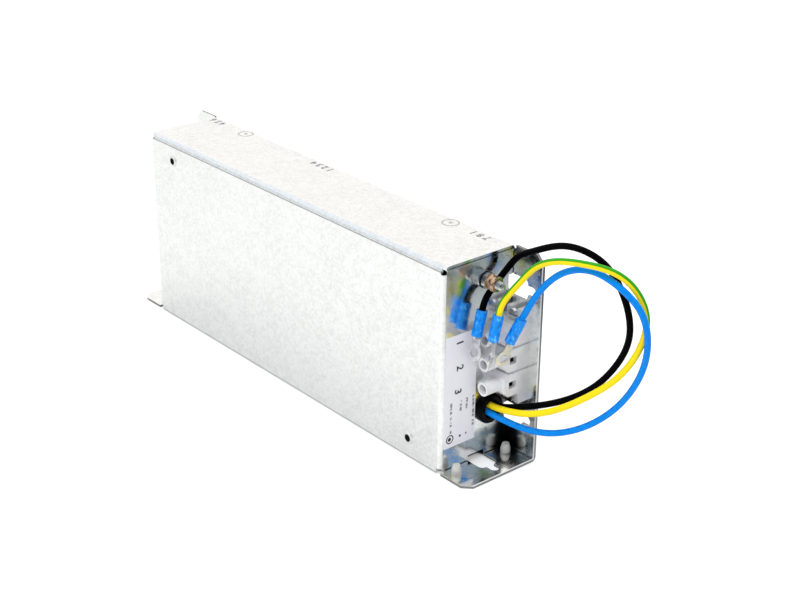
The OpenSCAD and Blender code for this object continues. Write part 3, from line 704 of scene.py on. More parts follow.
@dataclass(frozen=True)
class LeadSkin:
    """Extruded insulation: a plain colour, or yellow with a green stripe."""

    kind: Insulation
    black: Colour = (0.001, 0.001, 0.0012)
    black_wear: float = 2.2
    yellow: Colour = (1.0, 0.78, 0.012)
    green: Colour = (0.035, 0.36, 0.008)
    blue: Colour = (0.0, 0.27, 0.92)
    blue_wear: float = 0.85
    wear_span: tuple[float, float] = (0.3, 0.7)
    turn_low: float = 0.87
    turn_high: float = 0.75
    turn_span: tuple[float, float] = (0.25, 0.6)
    half_stripe: float = 0.165
    stripe_edge: float = 0.015
    ink: Colour = (0.01, 0.12, 0.5)
    ink_strength: float = 0.6
    ink_turn: float = 0.32
    ink_half: float = 0.06
    ticks: float = 41.0
    tick_share: float = 0.42
    ink_grain: float = 1600.0
    ink_gap: float = 0.47
    roughness: float = 0.25
    grain: float = 900.0
    grain_roughness: float = 0.12
    gloss: float = 0.14
    black_gloss: float = 0.02
    relief: float = 0.08
    relief_height: float = 0.1

    def build(self) -> bpy.types.Material:
        """Makes the material, which reads the tube's own UV map.

        Returns:
            The finished material.
        """
        sheet = MaterialSheet(f"lead_skin_{self.kind.value}")
        uv = sheet.node("ShaderNodeUVMap", {"uv_map": "tube"}).outputs[0]
        around, along, _ = sheet.parts(uv)
        fine = sheet.noise(self.grain)
        worn = fine.ramp(*self.wear_span)
        if self.kind is Insulation.EARTH:
            low, high = self.half_stripe - self.stripe_edge, self.half_stripe + self.stripe_edge
            slip = along.ramp(*self.turn_span) * (self.turn_low - self.turn_high)
            stripe = 1 - self.apart(around, self.turn_low - slip).ramp(low, high)
            base = sheet.blend(self.yellow, self.green, stripe)
        elif self.kind is Insulation.BLUE:
            ink = (along * self.ticks).fraction() < self.tick_share
            ink = ink * (self.apart(around, self.ink_turn) < self.ink_half)
            ink = ink * (sheet.noise(self.ink_grain, detail=1.0) > self.ink_gap)
            base = sheet.blend(scaled(self.blue, self.blue_wear), self.blue, worn)
            base = sheet.blend(base, self.ink, ink * self.ink_strength)
        else:
            base = sheet.blend(scaled(self.black, self.black_wear), self.black, worn)
        sheet.set("Base Color", base)
        sheet.set("Roughness", self.roughness + (fine - 0.5) * self.grain_roughness)
        gloss = self.black_gloss if self.kind is Insulation.BLACK else self.gloss
        sheet.set("Specular IOR Level", gloss)
        sheet.bump(fine, self.relief, self.relief_height * MM)
        return sheet.material

    def apart(self, around: Shade, turn: Any) -> Shade:
        """Distance round the lead from a line along it, in turns up to a half."""
        return (((around - turn) + 1.5).fraction() - 0.5).size()


@dataclass(frozen=True)
class LabelFilm:
    """White printed film with small bars of print.

    Each bar is a row of (distance from the lid, lower end, upper end).
    """

    name: str = "label_film_print"
    film: Colour = (0.93, 0.93, 0.99)
    film_wear: float = 0.95
    ink: Colour = (0.03, 0.03, 0.05)
    ink_strength: float = 0.75
    lines: tuple[Point, ...] = (
        (6.0, 19.0, 34.0),
        (11.7, 28.6, 34.0),
        (15.3, 28.3, 34.0),
        (19.2, 18.6, 34.0),
    )
    line_width: float = 1.2
    print_grain: float = 1500.0
    print_stretch: Point = (0.0, 0.25, 1.0)
    print_gap: float = 0.46
    clouds: float = 120.0
    roughness: float = 0.42
    cloud_roughness: float = 0.1

    def build(self, case: "CaseSizes") -> bpy.types.Material:
        """Makes the material.

        Args:
            case: sizes that place the print on the end plate.

        Returns:
            The finished material.
        """
        sheet = MaterialSheet(self.name)
        _, y, z = sheet.axes()
        broken = sheet.noise(self.print_grain, 1.0, self.print_stretch) > self.print_gap
        ink: Any = 0.0
        for across, low, high in self.lines:
            row = (y - case.y(across)).size() < self.line_width / 2 * MM
            span = (z - (low + high) / 2 * MM).size() < (high - low) / 2 * MM
            ink = row * span * broken + ink
        cloud = sheet.noise(self.clouds, detail=2.0)
        film = sheet.blend(scaled(self.film, self.film_wear), self.film, cloud)
        sheet.set("Base Color", sheet.blend(film, self.ink, ink * self.ink_strength))
        sheet.set("Roughness", self.roughness + (cloud - 0.5) * self.cloud_roughness)
        return sheet.material


# ---------------------------------------------------------------------------
# Surfaces
# ---------------------------------------------------------------------------


def unit(rows: np.ndarray) -> np.ndarray:
    """Scales each row vector to length 1."""
    return rows / np.linalg.norm(rows, axis=-1, keepdims=True)


def grid_faces(rows: int, columns: int, closed: bool = False) -> list[list[int]]:
    """Quads of a tube-like grid that is closed round its columns.

    Args:
        rows: number of rings.
        columns: points on each ring.
        closed: whether the last ring joins the first again.

    Returns:
        Four point numbers for each face.
    """
    i, k = np.meshgrid(np.arange(rows if closed else rows - 1), np.arange(columns), indexing="ij")
    n, m = (i + 1) % rows, (k + 1) % columns
    corners = (i * columns + k, i * columns + m, n * columns + m, n * columns + k)
    return np.stack(corners, -1).reshape(-1, 4).tolist()


def capped_faces(rows: int, columns: int) -> list[list[int]]:
    """Quads of a tube-like grid with a flat cap on each end ring.

    Args:
        rows: number of rings.
        columns: points on each ring.

    Returns:
        The point numbers of each face.
    """
    first = list(range(columns))[::-1]
    final = [(rows - 1) * columns + k for k in range(columns)]
    return grid_faces(rows, columns) + [first, final]


def turns(count: int) -> np.ndarray:
    """Even angles round a full turn, from 0."""
    return np.arange(count) * 2 * math.pi / count


def carried(name: str, mesh: bpy.types.Mesh, material: bpy.types.Material) -> bpy.types.Object:
    """Makes a piece of a mesh, which rides on the frame.

    Args:
        name: the piece's name.
        mesh: its mesh.
        material: its material.

    Returns:
        The new object.
    """
    made = bpy.data.objects.new(name, mesh)
    bpy.context.scene.collection.objects.link(made)
    mesh.materials.clear()
    mesh.materials.append(material)
    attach(made, BODY)
    LOG.info("piece %s: %d points", name, len(mesh.vertices))
    return made


def add_piece(
    name: str,
    points: np.ndarray,
    faces: Sequence[Sequence[int]],
    material: bpy.types.Material,
    smooth: bool = True,
) -> bpy.types.Object:
    """Makes a mesh piece that rides on the frame.

    Args:
        name: the piece's name.
        points: coordinates of the points, three to a row.
        faces: point numbers of each face.
        material: the piece's material.
        smooth: whether its faces are shaded smooth.

    Returns:
        The new object.
    """
    mesh = bpy.data.meshes.new(name)
    mesh.from_pydata(points.reshape(-1, 3).tolist(), [], faces)
    mesh.polygons.foreach_set("use_smooth", [smooth] * len(mesh.polygons))
    mesh.update()
    return carried(name, mesh, material)


# ---------------------------------------------------------------------------
# Sizes shared by the sub-assemblies
# ---------------------------------------------------------------------------


@dataclass(frozen=True)
class CaseSizes:
    """Main sizes of the case in millimetres, from its lid's lower corner."""

    length: float = 228.0
    depth: float = 42.0
    height: float = 100.0
    rivet_head: float = 1.2
    rivet_x: float = 21.0
    rivet_z: float = 10.0
    flange: float = 18.0
    label_t: float = 0.15

    def x(self, value: float) -> float:
        """Distance from the far end plate to a place along X, in metres."""
        return (value - self.length / 2) * MM

    def y(self, value: float) -> float:
        """Distance from the lid to a place along Y, in metres."""
        return (value - (self.depth - self.rivet_head) / 2) * MM

    def point(self, x: float, y: float, z: float) -> np.ndarray:
        """A place in the case's own millimetres as a point in metres."""
        return np.array([self.x(x), self.y(y), z * MM])


# ---------------------------------------------------------------------------
# Flying leads
# ---------------------------------------------------------------------------


def spline(points: np.ndarray, steps: int) -> np.ndarray:
    """Uniform cubic B-spline that starts and stops on its end points.

    Each stretch blends four neighbouring points with the cubic weights
    (1-t)^3, 3t^3-6t^2+4, -3t^3+3t^2+3t+1 and t^3, each over 6.

    Args:
        points: control points, one row each.
        steps: samples on each stretch.

    Returns:
        The sampled line.
    """
    first = 2 * points[0] - points[1]
    final = 2 * points[-1] - points[-2]
    p = np.vstack([first, points, final])
    spans = len(points) - 1
    t = np.arange(steps) / steps
    weights = (
        np.stack(
            [(1 - t) ** 3, 3 * t**3 - 6 * t**2 + 4, -3 * t**3 + 3 * t**2 + 3 * t + 1, t**3], -1
        )
        / 6
    )
    window = np.stack([p[k : k + spans] for k in range(4)], 1)
    line = np.einsum("sw,nwd->nsd", weights, window).reshape(-1, 3)
    return np.vstack([line, points[-1]])


@dataclass
class FlyingLead:
    """One lead from the grommet to its crimp sleeve and ring tongue."""

    kind: Insulation
    route: Route
    case: CaseSizes
    exit_reach: float = 3.0
    exit_y: float = 28.2
    exit_z: float = 24.8
    diameter: float = 3.1
    grip: float = 4.0
    sides: int = 20
    steps: int = 9
    skin: float = 0.07
    crest: float = 0.5
    crest_span: tuple[float, float] = (98.0, 110.0)
    loop_turn: float = 31.0

    def line(self) -> np.ndarray:
        """Works out the centreline, which runs on straight into the sleeve.

        A spline follows the route. Its crest comes down by a smooth step of
        the height, 3s^2-2s^3, where s is the share of the crest's span.

        Returns:
            The centreline in metres.
        """
        start = self.case.point(self.case.length + self.exit_reach, self.exit_y, self.exit_z)
        points = np.asarray(self.route) * MM + start
        curve = spline(points, self.steps)
        low, high = self.crest_span
        share = np.clip((curve[:, 2] / MM - low) / (high - low), 0, 1)
        curve[:, 2] -= self.crest * MM * share * share * (3 - 2 * share)
        way = unit(points[-1] - points[-2])
        return np.vstack([curve, curve[-1] + way * self.grip * MM])

    def tube(self, line: np.ndarray) -> np.ndarray:
        """Carries a circle along the centreline.

        Each ring lies across the line, turned so that its first point leans
        towards the normal of the plane in which the leads loop.

        Args:
            line: the centreline.

        Returns:
            An array of (rings, sides, 3) points.
        """
        way = unit(np.gradient(line, axis=0))
        turn = math.radians(self.loop_turn)
        lean = np.array([-math.sin(turn), math.cos(turn), 0.0])
        n = unit(lean - (way @ lean)[:, None] * way)
        b = np.cross(way, n)
        angle = turns(self.sides)[:, None]
        ring = np.cos(angle) * n[:, None] + np.sin(angle) * b[:, None]
        return line[:, None] + (self.diameter / 2 - self.skin) * MM * ring

    def unwrap(self, lead: bpy.types.Object, along: np.ndarray) -> None:
        """Gives the tube its UV map: turns round it, and share of its length.

        Args:
            lead: the lead's object.
            along: distance of each ring from the start.
        """
        share = along / along[-1]
        i, k = np.meshgrid(np.arange(len(along) - 1), np.arange(self.sides), indexing="ij")
        corners_i = np.stack([i, i, i + 1, i + 1], -1)
        corners_k = np.stack([k, k + 1, k + 1, k], -1)
        uv = np.stack([corners_k / self.sides, share[corners_i]], -1).reshape(-1, 2)
        caps = np.zeros((2 * self.sides, 2))
        layer = lead.data.uv_layers.new(name="tube")
        layer.data.foreach_set("uv", np.vstack([uv, caps]).astype(np.float32).ravel())

    def build(self) -> None:
        name = self.kind.value
        line = self.line()
        skin = LeadSkin(self.kind).build()
        faces = capped_faces(len(line), self.sides)
        lead = add_piece(f"{name}_wire", self.tube(line), faces, skin)
        lengths = np.linalg.norm(np.diff(line, axis=0), axis=1)
        along = np.concatenate([[0.0], np.cumsum(lengths)])
        self.unwrap(lead, along)
        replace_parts(lead, f"{name}_lead")
        self.diameter * MM


@dataclass
class LeadSet:
    """The three flying leads with their routes from the grommet's face.

    A route's points lie near the lead, as control points of its spline. They
    are the rounded result of a least-squares fit and weren't chosen by hand.
    """

    case: CaseSizes
    black: Route = (
        (0, 2.6, 1.2), (4, 2.9, 1.4), (18, 8, 6), (31, 15, 12), (42, 21, 21),
        (50, 25, 34), (56, 25, 48), (56, 22, 63), (50, 19, 77), (41, 17, 84),
        (27, 11, 87), (12, 8, 78), (4, 8, 74), (0, 5, 66), (2, -8.5, 58.5),
        (2, -10, 52.5),
    )
    earth: Route = (
        (0, -0.6, 2.1), (4, -0.5, 2.15), (19, 2, 4), (31, 9, 9), (42, 17, 18),
        (52, 23, 28), (58, 28, 41), (61, 30, 56), (59, 25, 70), (54, 16, 81),
        (45, 7, 84), (32, 2, 83), (20, 2, 76), (13, 1, 66), (9.5, -6, 58),
        (9.5, -7.5, 52),
    )
    blue: Route = (
        (0, -1.8, -1), (4, -1.8, -1.1), (19, 3, -4), (30, 11, -4), (41, 19, 2),
        (50, 26, 12), (57, 29, 25), (62, 29, 39), (64, 26, 54), (62, 22, 66),
        (54, 16, 75), (43, 12, 80), (31, 8, 76), (22, 5, 66), (16.5, 3, 55),
        (15, 1, 49.5),
    )

    def build(self) -> None:
        """Makes the three leads."""
        for kind, route in (
            (Insulation.BLACK, self.black),
            (Insulation.EARTH, self.earth),
            (Insulation.BLUE, self.blue),
        ):
            FlyingLead(kind, route, self.case).build()


# ---------------------------------------------------------------------------
# Earth stud
# ---------------------------------------------------------------------------


@dataclass
class EarthStud:
    """Threaded stud with two thin hexagon nuts."""

    case: CaseSizes
    steel: bpy.types.Material
    brass: bpy.types.Material
    depth_place: float = 21.5
    height: float = 90.0
    diameter: float = 4.0
    pitch: float = 0.7
    thread: float = 0.36
    root_flat: float = 1.2
    chamfer: float = 0.7
    rows_a_turn: int = 8
    nut_start: float = 5.8
    nut_h: float = 2.4
    nut_af: float = 6.5
    nut_gap: float = 0.1
    nut_turn: float = 18.0
    nut_bevel: float = 0.3
    nut_face: float = 0.93
    nut_lip: float = 0.98
    nut_lip_h: float = 0.02
    sides: int = 48

    def around(self, ahead: np.ndarray, radius: np.ndarray) -> np.ndarray:
        """Carries radii round the stud's axis, which runs along the case.

        Args:
            ahead: places along the axis from the end plate, in millimetres.
            radius: radii in millimetres, one column for each side.

        Returns:
            An array of (rows, sides, 3) points in metres.
        """
        angle = turns(self.sides)
        base = self.case.point(self.case.length, self.depth_place, self.height)
        along = np.broadcast_to(ahead[:, None], radius.shape)
        offsets = np.stack([along, radius * np.cos(angle), radius * np.sin(angle)], -1)
        return base + offsets * MM

    def stud(self) -> None:
        """Makes the stud.

        The radius falls from the crest by the thread's depth times a triangle
        wave of (distance / pitch - angle / turn), and a cone bevels the tip.
        """
        low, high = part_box("earth_stud")
        origin = self.case.x(self.case.length)
        start, stop = (low[0] - origin) / MM, (high[0] - origin) / MM
        rows = int((stop - start) / self.pitch * self.rows_a_turn)
        ahead = np.linspace(start, stop, rows)
        phase = ahead[:, None] / self.pitch - turns(self.sides) / (2 * math.pi)
        wave = np.abs((phase % 1.0) * 2 - 1)
        radius = self.diameter / 2 - self.thread * np.clip(wave * self.root_flat, 0, 1)
        bevel = self.diameter / 2 - self.chamfer + (stop - ahead)[:, None]
        points = self.around(ahead, np.minimum(radius, bevel))
        made = add_piece("earth_stud_thread", points, capped_faces(rows, self.sides), self.steel)
        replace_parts(made, "earth_stud")

    def nut(self, name: str, start: float, turn: float) -> None:
        """Makes one nut.

        Its outline is the hexagon (af / 2) / cos(angle from the nearest flat),
        cut back by a cone at both faces.

        Args:
            name: the piece's name.
            start: distance of its near face from the end plate.
            turn: turn round the stud in degrees.
        """
        height = self.nut_h - self.nut_gap / 2
        half = self.nut_af / 2
        corner = half / math.cos(math.pi / 6)
        bore = self.diameter / 2 - self.thread
        rise = np.array([0, 0, self.nut_lip_h, self.nut_bevel])
        reach = np.array([bore, half * self.nut_face, half * self.nut_lip, corner])
        ahead = np.concatenate([rise, height - rise[::-1]]) + start
        limit = np.concatenate([reach, reach[::-1]])
        sixth = math.pi / 3
        lean = (turns(self.sides) - math.radians(turn) + sixth / 2) % sixth - sixth / 2
        points = self.around(ahead, np.minimum(limit[:, None], half / np.cos(lean)))
        faces = grid_faces(len(ahead), self.sides, closed=True)
        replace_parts(add_piece(name, points, faces, self.brass, smooth=False), "earth_nuts")

    def build(self) -> None:
        """Makes the stud and both nuts."""
        self.stud()
        self.nut("earth_nut_inner", self.nut_start, 0.0)
        outer = self.nut_start + self.nut_h + self.nut_gap / 2
        self.nut("earth_nut_outer", outer, self.nut_turn)


# ---------------------------------------------------------------------------
# Printed marks
# ---------------------------------------------------------------------------


class Side(Enum):
    """Side of the case that a mark is printed on."""

    TOP = "top"
    LABEL = "label"


@dataclass(frozen=True)
class Ink:
    """Worn printing ink."""

    name: str
    colour: Colour
    fading: float = 0.5
    worn_grey: float = 0.8
    grain: float = 1400.0
    wear_span: tuple[float, float] = (0.4, 0.75)
    roughness: float = 0.5
    wear_roughness: float = 0.2
    gloss: float = 0.1

    def build(self) -> bpy.types.Material:
        """Makes the material.

        Returns:
            The finished material.
        """
        sheet = MaterialSheet(self.name)
        wear = sheet.noise(self.grain).ramp(*self.wear_span)
        pale = tuple(part + (self.worn_grey - part) * self.fading for part in self.colour)
        sheet.set("Base Color", sheet.blend(self.colour, pale, wear))
        sheet.set("Roughness", self.roughness + wear * self.wear_roughness)
        sheet.set("Specular IOR Level", self.gloss)
        return sheet.material


@dataclass
class Marks:
    """Plain numbers, rings and dots printed on one side of the case."""

    case: CaseSizes
    side: Side
    ink: bpy.types.Material
    film: float = 0.03
    bold: float = 0.12
    smoothness: int = 3
    sides: int = 40
    eye: float = 0.02

    def frame(self, across: float, along: float) -> Matrix:
        """Turn and place of a mark.

        Args:
            across: the mark's place across the depth, in millimetres.
            along: its place along the case, or its height on the label.

        Returns:
            The matrix that carries the mark's own plane there.
        """
        if self.side is Side.TOP:
            turn = Matrix(((-1, 0, 0), (0, -1, 0), (0, 0, 1)))
            place = self.case.point(along, across, self.case.height)
        else:
            turn = Matrix(((0, 0, 1), (0, 1, 0), (-1, 0, 0)))
            place = self.case.point(self.case.length + self.case.label_t, across, along)
        return Matrix.Translation(Vector(place)) @ turn.to_4x4()

    def number(self, name: str, text: str, size: float, across: float, along: float) -> None:
        """Prints a plain number.

        Args:
            name: the piece's name.
            text: digits and spaces.
            size: height of the type in millimetres.
            across: place across the depth.
            along: place along the case, or height on the label.
        """
        curve = bpy.data.curves.new(name, "FONT")
        curve.body = text
        curve.size = size * MM
        curve.align_x = "CENTER"
        curve.align_y = "CENTER"
        curve.extrude = self.film / 2 * MM
        curve.offset = self.bold * MM
        curve.resolution_u = self.smoothness
        drawn = bpy.data.objects.new(f"{name}_drawn", curve)
        bpy.context.scene.collection.objects.link(drawn)
        bpy.context.view_layer.update()
        graph = bpy.context.evaluated_depsgraph_get()
        mesh = bpy.data.meshes.new_from_object(drawn.evaluated_get(graph))
        bpy.data.objects.remove(drawn)
        bpy.data.curves.remove(curve)
        lift = Matrix.Translation((0, 0, self.film / 2 * MM))
        mesh.transform(self.frame(across, along) @ lift)
        mesh.name = name
        carried(name, mesh, self.ink)

    def ring(self, name: str, outer_d: float, width: float, across: float, along: float) -> None:
        """Prints a ring.

        Its section is a thin rectangle. A corner of it at height h and radius r
        goes to (r sin a, -r cos a, h) for each angle a.

        Args:
            name: the piece's name.
            outer_d: outer diameter in millimetres.
            width: width of the line, or the radius for a full dot.
            across: place across the depth.
            along: place along the case, or height on the label.
        """
        outer = outer_d / 2 * MM
        inner = max(outer - width * MM, self.eye * MM)
        height = np.array([0.0, 0.0, self.film, self.film])[:, None] * MM
        radius = np.array([inner, outer, outer, inner])[:, None]
        angle = turns(self.sides)
        flat = np.broadcast_arrays(radius * np.sin(angle), -radius * np.cos(angle), height)
        matrix = np.array(self.frame(across, along))
        points = np.stack(flat, -1) @ matrix[:3, :3].T + matrix[:3, 3]
        faces = grid_faces(len(radius), self.sides, closed=True)
        add_piece(name, points, faces, self.ink, smooth=False)


@dataclass
class Printing:
    """All printed marks."""

    case: CaseSizes

    def build(self) -> None:
        """Makes the marks on the top and on the label."""
        top = Marks(self.case, Side.TOP, Ink("stamp_ink", (0.10, 0.10, 0.10), 0.8).build())
        for name, text, along, across in (
            ("top_number_far", "4 5 6", 7.5, 37.2),
            ("top_number_middle", "1 2 3 4", 97.0, 37.4),
            ("top_number_near", "7 8 1", 211.0, 36.8),
        ):
            top.number(name, text, 5.6, across, along)
        faint = Marks(self.case, Side.TOP, Ink("faint_ink", (0.36, 0.36, 0.34), 0.9).build())
        for name, along, across in (("far", 33.0, 37.0), ("near", 191.6, 36.6)):
            faint.ring(f"top_ring_{name}", 8.4, 0.8, across, along)
            faint.ring(f"top_dot_{name}", 2.2, 1.1, across, along)
        label = Marks(self.case, Side.LABEL, Ink("label_ink", (0.01, 0.01, 0.012), 0.2).build())
        for text, across, along in (("1", 10.1, 62.4), ("2", 10.5, 50.2), ("3", 9.7, 38.7)):
            label.number(f"label_number_{text}", text, 5.4, across, along)
        label.ring("label_earth_ring", 4.4, 0.55, 5.6, 16.2)
        label.ring("label_earth_dot", 1.9, 0.95, 5.4, 16.2)
        label.ring("label_dot_a", 1.2, 0.6, 11.6, 16.1)
        label.ring("label_dot_b", 0.9, 0.45, 15.2, 16.3)


# ---------------------------------------------------------------------------
# Stage
# ---------------------------------------------------------------------------


@dataclass
class Viewpoint:
    """The camera's place and turn."""

    place: Point = (0.55426, -0.42081, 0.358425)
    azimuth: float = 49.46
    elevation: float = 24.66
    roll: float = 0.53
    lens: float = 70.06
    sensor: float = 36.0
    far: float = 20.0

    def build(self) -> None:
        """Makes the camera."""
        a, e, r = (math.radians(v) for v in (self.azimuth, self.elevation, self.roll))
        ahead = np.array([-math.sin(a) * math.cos(e), math.cos(a) * math.cos(e), -math.sin(e)])
        level = np.array([math.cos(a), math.sin(a), 0.0])
        rise = np.cross(level, ahead)
        right = math.cos(r) * level + math.sin(r) * rise
        up = -math.sin(r) * level + math.cos(r) * rise
        turn = Matrix(np.column_stack([right, up, -ahead]).tolist())
        data = bpy.data.cameras.new("camera")
        data.lens = self.lens
        data.sensor_width = self.sensor
        data.clip_end = self.far
        camera = bpy.data.objects.new("camera", data)
        camera.matrix_world = Matrix.Translation(Vector(self.place)) @ turn.to_4x4()
        bpy.context.scene.collection.objects.link(camera)
        bpy.context.scene.camera = camera


@dataclass(frozen=True)
class Lamp:
    """Soft square lamp that faces the part and doesn't show in reflections."""

    name: str
    place: Point
    size: float
    power: float
    aim: Point = (0.0, 0.0, 0.05)

    def build(self) -> None:
        """Makes the lamp."""
        data = bpy.data.lights.new(self.name, "AREA")
        data.size = self.size
        data.energy = self.power
        lamp = bpy.data.objects.new(self.name, data)
        lamp.visible_glossy = False
        lamp.location = self.place
        way = Vector(self.aim) - Vector(self.place)
        lamp.rotation_euler = way.to_track_quat("-Z", "Y").to_euler()
        bpy.context.scene.collection.objects.link(lamp)


@dataclass
class Studio:
    """Plain pale floor, soft lamps and an even world with one dark side."""

    floor_size: float = 6.0
    floor_drop: float = 0.0002
    floor_grey: float = 0.9
    floor_roughness: float = 0.9
    floor_glow: float = 0.30
    glow_span: tuple[float, float] = (0.5, 1.4)
    mirror_loss: float = 0.05
    dark_floor: tuple[float, float] = (0.165, 0.28)
    dark_floor_colour: Colour = (0.17, 0.20, 0.21)
    world_strength: float = 0.68
    side: Point = (1.0, 0.0, 0.0)
    side_span: tuple[float, float] = (0.35, 0.68)
    side_darkness: float = 0.68
    dark_side: Point = (0.69, -0.59, 0.417)
    dark_span: tuple[float, float] = (0.62, 0.93)
    darkness: float = 0.88
    white: Colour = (1.0, 1.0, 1.0)
    dark_tint: Colour = (0.45, 0.72, 1.0)
    lamps: tuple[Lamp, ...] = (
        Lamp("key_lamp", (0.2, -0.9, 1.3), 1.0, 10.0),
        Lamp("top_lamp", (0.3, 0.5, 1.6), 1.2, 9.0),
    )

    def rays(self, sheet: NodeSheet, *kinds: str) -> list[Shade]:
        """Tells which kind of ray looks.

        Args:
            sheet: the node sheet that asks.
            kinds: the kinds of ray.

        Returns:
            A value for each kind, which is 1 for its rays.
        """
        path = sheet.node("ShaderNodeLightPath")
        return [Shade(sheet, path.outputs[f"Is {kind} Ray"]) for kind in kinds]

    def floor(self) -> None:
        """Makes the floor.

        Its glow shows to the camera alone and grows with the distance. To
        reflections it is a little darker, and dark ahead of the terminal end.
        """
        sheet = MaterialSheet("studio_floor")
        camera, glossy = self.rays(sheet, "Camera", "Glossy")
        x, y, _ = sheet.axes()
        dark = x.ramp(*self.dark_floor) * glossy
        far = (x * x + y * y).power(0.5).ramp(*self.glow_span)
        pale = sheet.grey(self.floor_grey - glossy * self.mirror_loss)
        sheet.set("Base Color", sheet.blend(pale, self.dark_floor_colour, dark))
        sheet.set("Roughness", self.floor_roughness)
        glow = {"Color": self.white, "Strength": camera * (self.floor_glow + far)}
        glow_node = sheet.node("ShaderNodeEmission", None, glow)
        both = {0: sheet.shader.outputs[0], 1: glow_node.outputs[0]}
        total = sheet.node("ShaderNodeAddShader", None, both)
        sheet.feed(sheet.output.inputs["Surface"], total.outputs[0])
        half = self.floor_size
        mesh = bpy.data.meshes.new("floor")
        corners = [(-half, -half, 0), (half, -half, 0), (half, half, 0), (-half, half, 0)]
        mesh.from_pydata(corners, [], [(0, 1, 2, 3)])
        mesh.materials.append(sheet.material)
        floor = bpy.data.objects.new("floor", mesh)
        floor.location = (0, 0, -self.floor_drop)
        bpy.context.scene.collection.objects.link(floor)

    def world(self) -> None:
        """Sets an even world with one dark side.

        Diffuse rays get an even light. The camera sees white, and reflections
        see white apart from the dark side of the room, which lies round two
        directions: darkness rises smoothly as a direction comes near them.
        """
        world = bpy.data.worlds.new("studio_world")
        bpy.context.scene.world = world
        world.use_nodes = True
        sheet = NodeSheet(world.node_tree)
        camera, glossy, clear = self.rays(sheet, "Camera", "Glossy", "Transmission")
        direction = sheet.node("ShaderNodeTexCoord").outputs["Generated"]
        deep = self.nearness(sheet, direction, self.dark_side).ramp(*self.dark_span)
        wide = self.nearness(sheet, direction, self.side).ramp(*self.side_span)
        dark = (deep * self.darkness).most(wide * self.side_darkness)
        seen = (camera + clear).least(1.0)
        mirrored = glossy * (1 - dark)
        strength = seen + (1 - seen) * (mirrored + (1 - glossy) * self.world_strength)
        colour = sheet.blend(self.white, self.dark_tint, dark * glossy)
        light = {"Color": colour, "Strength": strength}
        back = sheet.node("ShaderNodeBackground", None, light)
        sheet.node("ShaderNodeOutputWorld", None, {"Surface": back.outputs[0]})

    def nearness(self, sheet: NodeSheet, direction: Any, aim: Point) -> Shade:
        """Compares a direction with an aim.

        Args:
            sheet: the world's node sheet.
            direction: socket of the direction.
            aim: the aim, of about length 1.

        Returns:
            Cosine of the angle between them.
        """
        settings = {"operation": "DOT_PRODUCT"}
        made = sheet.node("ShaderNodeVectorMath", settings, {0: direction, 1: aim})
        return Shade(sheet, made.outputs["Value"])

    def build(self) -> None:
        """Makes the floor, the world and the lamps."""
        self.floor()
        self.world()
        for lamp in self.lamps:
            lamp.build()
        bpy.context.scene.view_settings.view_transform = "Standard"


# ---------------------------------------------------------------------------
# Carried-over pieces
# ---------------------------------------------------------------------------


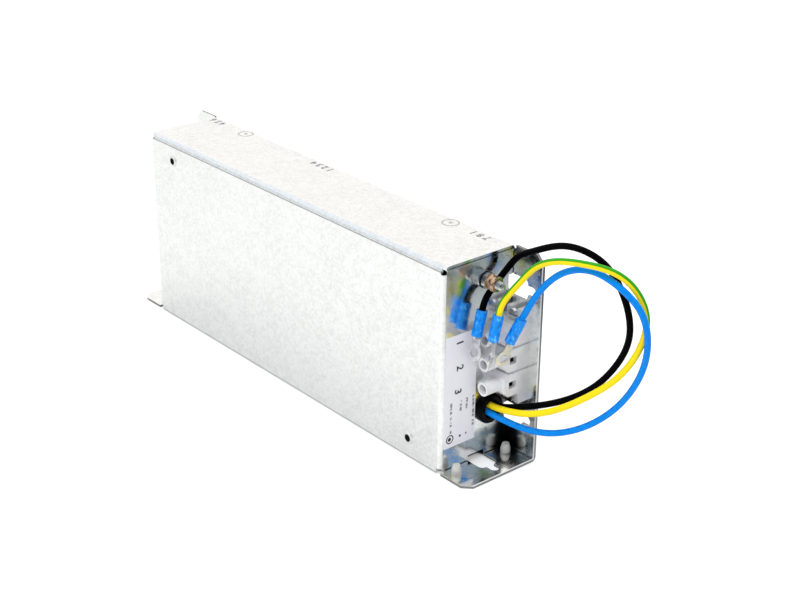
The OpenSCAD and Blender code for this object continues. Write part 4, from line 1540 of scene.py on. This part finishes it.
@dataclass
class Dressing:
    """Gives each carried-over CAD piece its finish."""

    nodes: dict[str, bpy.types.Object]
    case: CaseSizes

    def paint(self, material: bpy.types.Material, *names: str) -> None:
        """Puts one material on the named pieces.

        Args:
            material: the material.
            names: CAD node names.
        """
        for name in names:
            slots = self.nodes[name].material_slots
            for slot in slots:
                slot.material = material
            if not slots:
                self.nodes[name].data.materials.append(material)
            LOG.info("dressed %s with %s", name, material.name)

    def build(self) -> None:
        """Dresses every piece."""
        self.outer_metal()
        self.plastics()
        self.inner()

    def outer_metal(self) -> None:
        """Dresses the case and its fittings, and makes the earth stud."""
        self.paint(Galvanised("galvanised_lid").build(self.case), "lid")
        self.paint(Galvanised("galvanised_chassis").build(self.case), "chassis")
        steel = PlainMetal("plated_steel", (0.78, 0.78, 0.78), 0.22).build()
        dark = PlainMetal("dark_steel", (0.05, 0.05, 0.052), 0.35).build()
        self.paint(RivetMetal().build(self.case), "lid_rivets")
        self.paint(steel, "earth_stud", "earth_washers", "earth_spring_washer", "earth_base_nut")
        self.paint(Moulding("pin_zinc", (0.66, 0.65, 0.62), 0.35).build(), "foot_pins")
        self.paint(steel, "terminal_screws", "strip_screws", "board_standoffs", "board_screws")
        self.paint(dark, "earth_tooth_washer")
        brass = PlainMetal("nut_brass", (0.76, 0.50, 0.33), 0.2, 0.5).build()
        self.paint(brass, "earth_nuts")
        EarthStud(self.case, steel, brass).build()
        # painted shade: the clamps in the wire entries are painted near black
        self.paint(PlainMetal("clamp_brass", (0.10, 0.08, 0.05)).build(), "terminal_barrels")
        tin = PlainMetal("tinned_copper", (0.86, 0.86, 0.86), 0.3, 0.12).build()
        self.paint(tin, "black_ring_tongue", "earth_ring_tongue", "blue_ring_tongue")

    def plastics(self) -> None:
        """Dresses the label, the grommet, the terminal strip and the sleeves."""
        self.paint(LabelFilm().build(self.case), "label")
        rubber = Moulding("grommet_rubber", (0.001, 0.001, 0.0015), 0.3, gloss=0.06).build()
        self.paint(rubber, "grommet")
        strip = Moulding("strip_polyamide", (0.88, 0.89, 0.92), 0.38, glow=0.15).build()
        self.paint(strip, "terminal_strip")
        vinyl = SleeveVinyl("sleeve_vinyl", (0.0, 0.28, 0.93), 0.2, gloss=0.45).build()
        self.paint(vinyl, "black_sleeve", "earth_sleeve", "blue_sleeve")

    def inner(self) -> None:
        """Dresses the pieces that the closed case hides."""
        inner: dict[tuple[str, ...], Any] = {
            ("circuit_board",): Moulding("board_laminate", (0.03, 0.2, 0.07), 0.35, 0.3),
            ("insulating_sheet",): Moulding("insulator_film", (0.75, 0.7, 0.5), 0.3),
            ("choke_a_core", "choke_b_core"): Moulding("ferrite_coating", (0.05, 0.05, 0.055), 0.5),
            (
                "choke_a_line_winding", "choke_a_neutral_winding",
                "choke_b_line_winding", "choke_b_neutral_winding",
            ): PlainMetal("enamelled_copper", (0.75, 0.34, 0.13), 0.3),
            ("choke_a_divider", "choke_b_divider"): Moulding("divider_plastic", (0.8, 0.75, 0.62)),
            ("x_capacitor_a", "x_capacitor_b"): Moulding("x_cap_case", (0.8, 0.6, 0.06), 0.3, 0.2),
            ("y_capacitors",): Moulding("y_cap_case", (0.06, 0.18, 0.6), 0.3, 0.3),
            ("bleed_resistor",): Moulding("resistor_body", (0.6, 0.45, 0.28), 0.4, 0.2),
            ("line_input_lead",): Moulding("brown_insulation", (0.2, 0.07, 0.02), 0.35, 0.2),
            ("neutral_input_lead", "blue_lead_tail"): Moulding(
                "blue_insulation", (0.02, 0.29, 0.86), 0.3, 0.3
            ),
            ("earth_input_lead", "earth_lead_tail"): Moulding(
                "yellow_insulation", (0.9, 0.78, 0.03), 0.3, 0.3
            ),
            ("black_lead_tail",): Moulding("black_insulation", (0.008, 0.008, 0.009), 0.3, 0.3),
        }
        for names, finish in inner.items():
            self.paint(finish.build(), *names)


def main() -> None:
    """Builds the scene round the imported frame."""
    logging.basicConfig(level=logging.INFO, format="%(name)s: %(message)s")
    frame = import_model()
    case = CaseSizes()
    Viewpoint().build()
    LeadSet(case).build()
    Studio().build()
    Dressing(frame["nodes"], case).build()
    Printing(case).build()


if __name__ == "__main__":
    main()
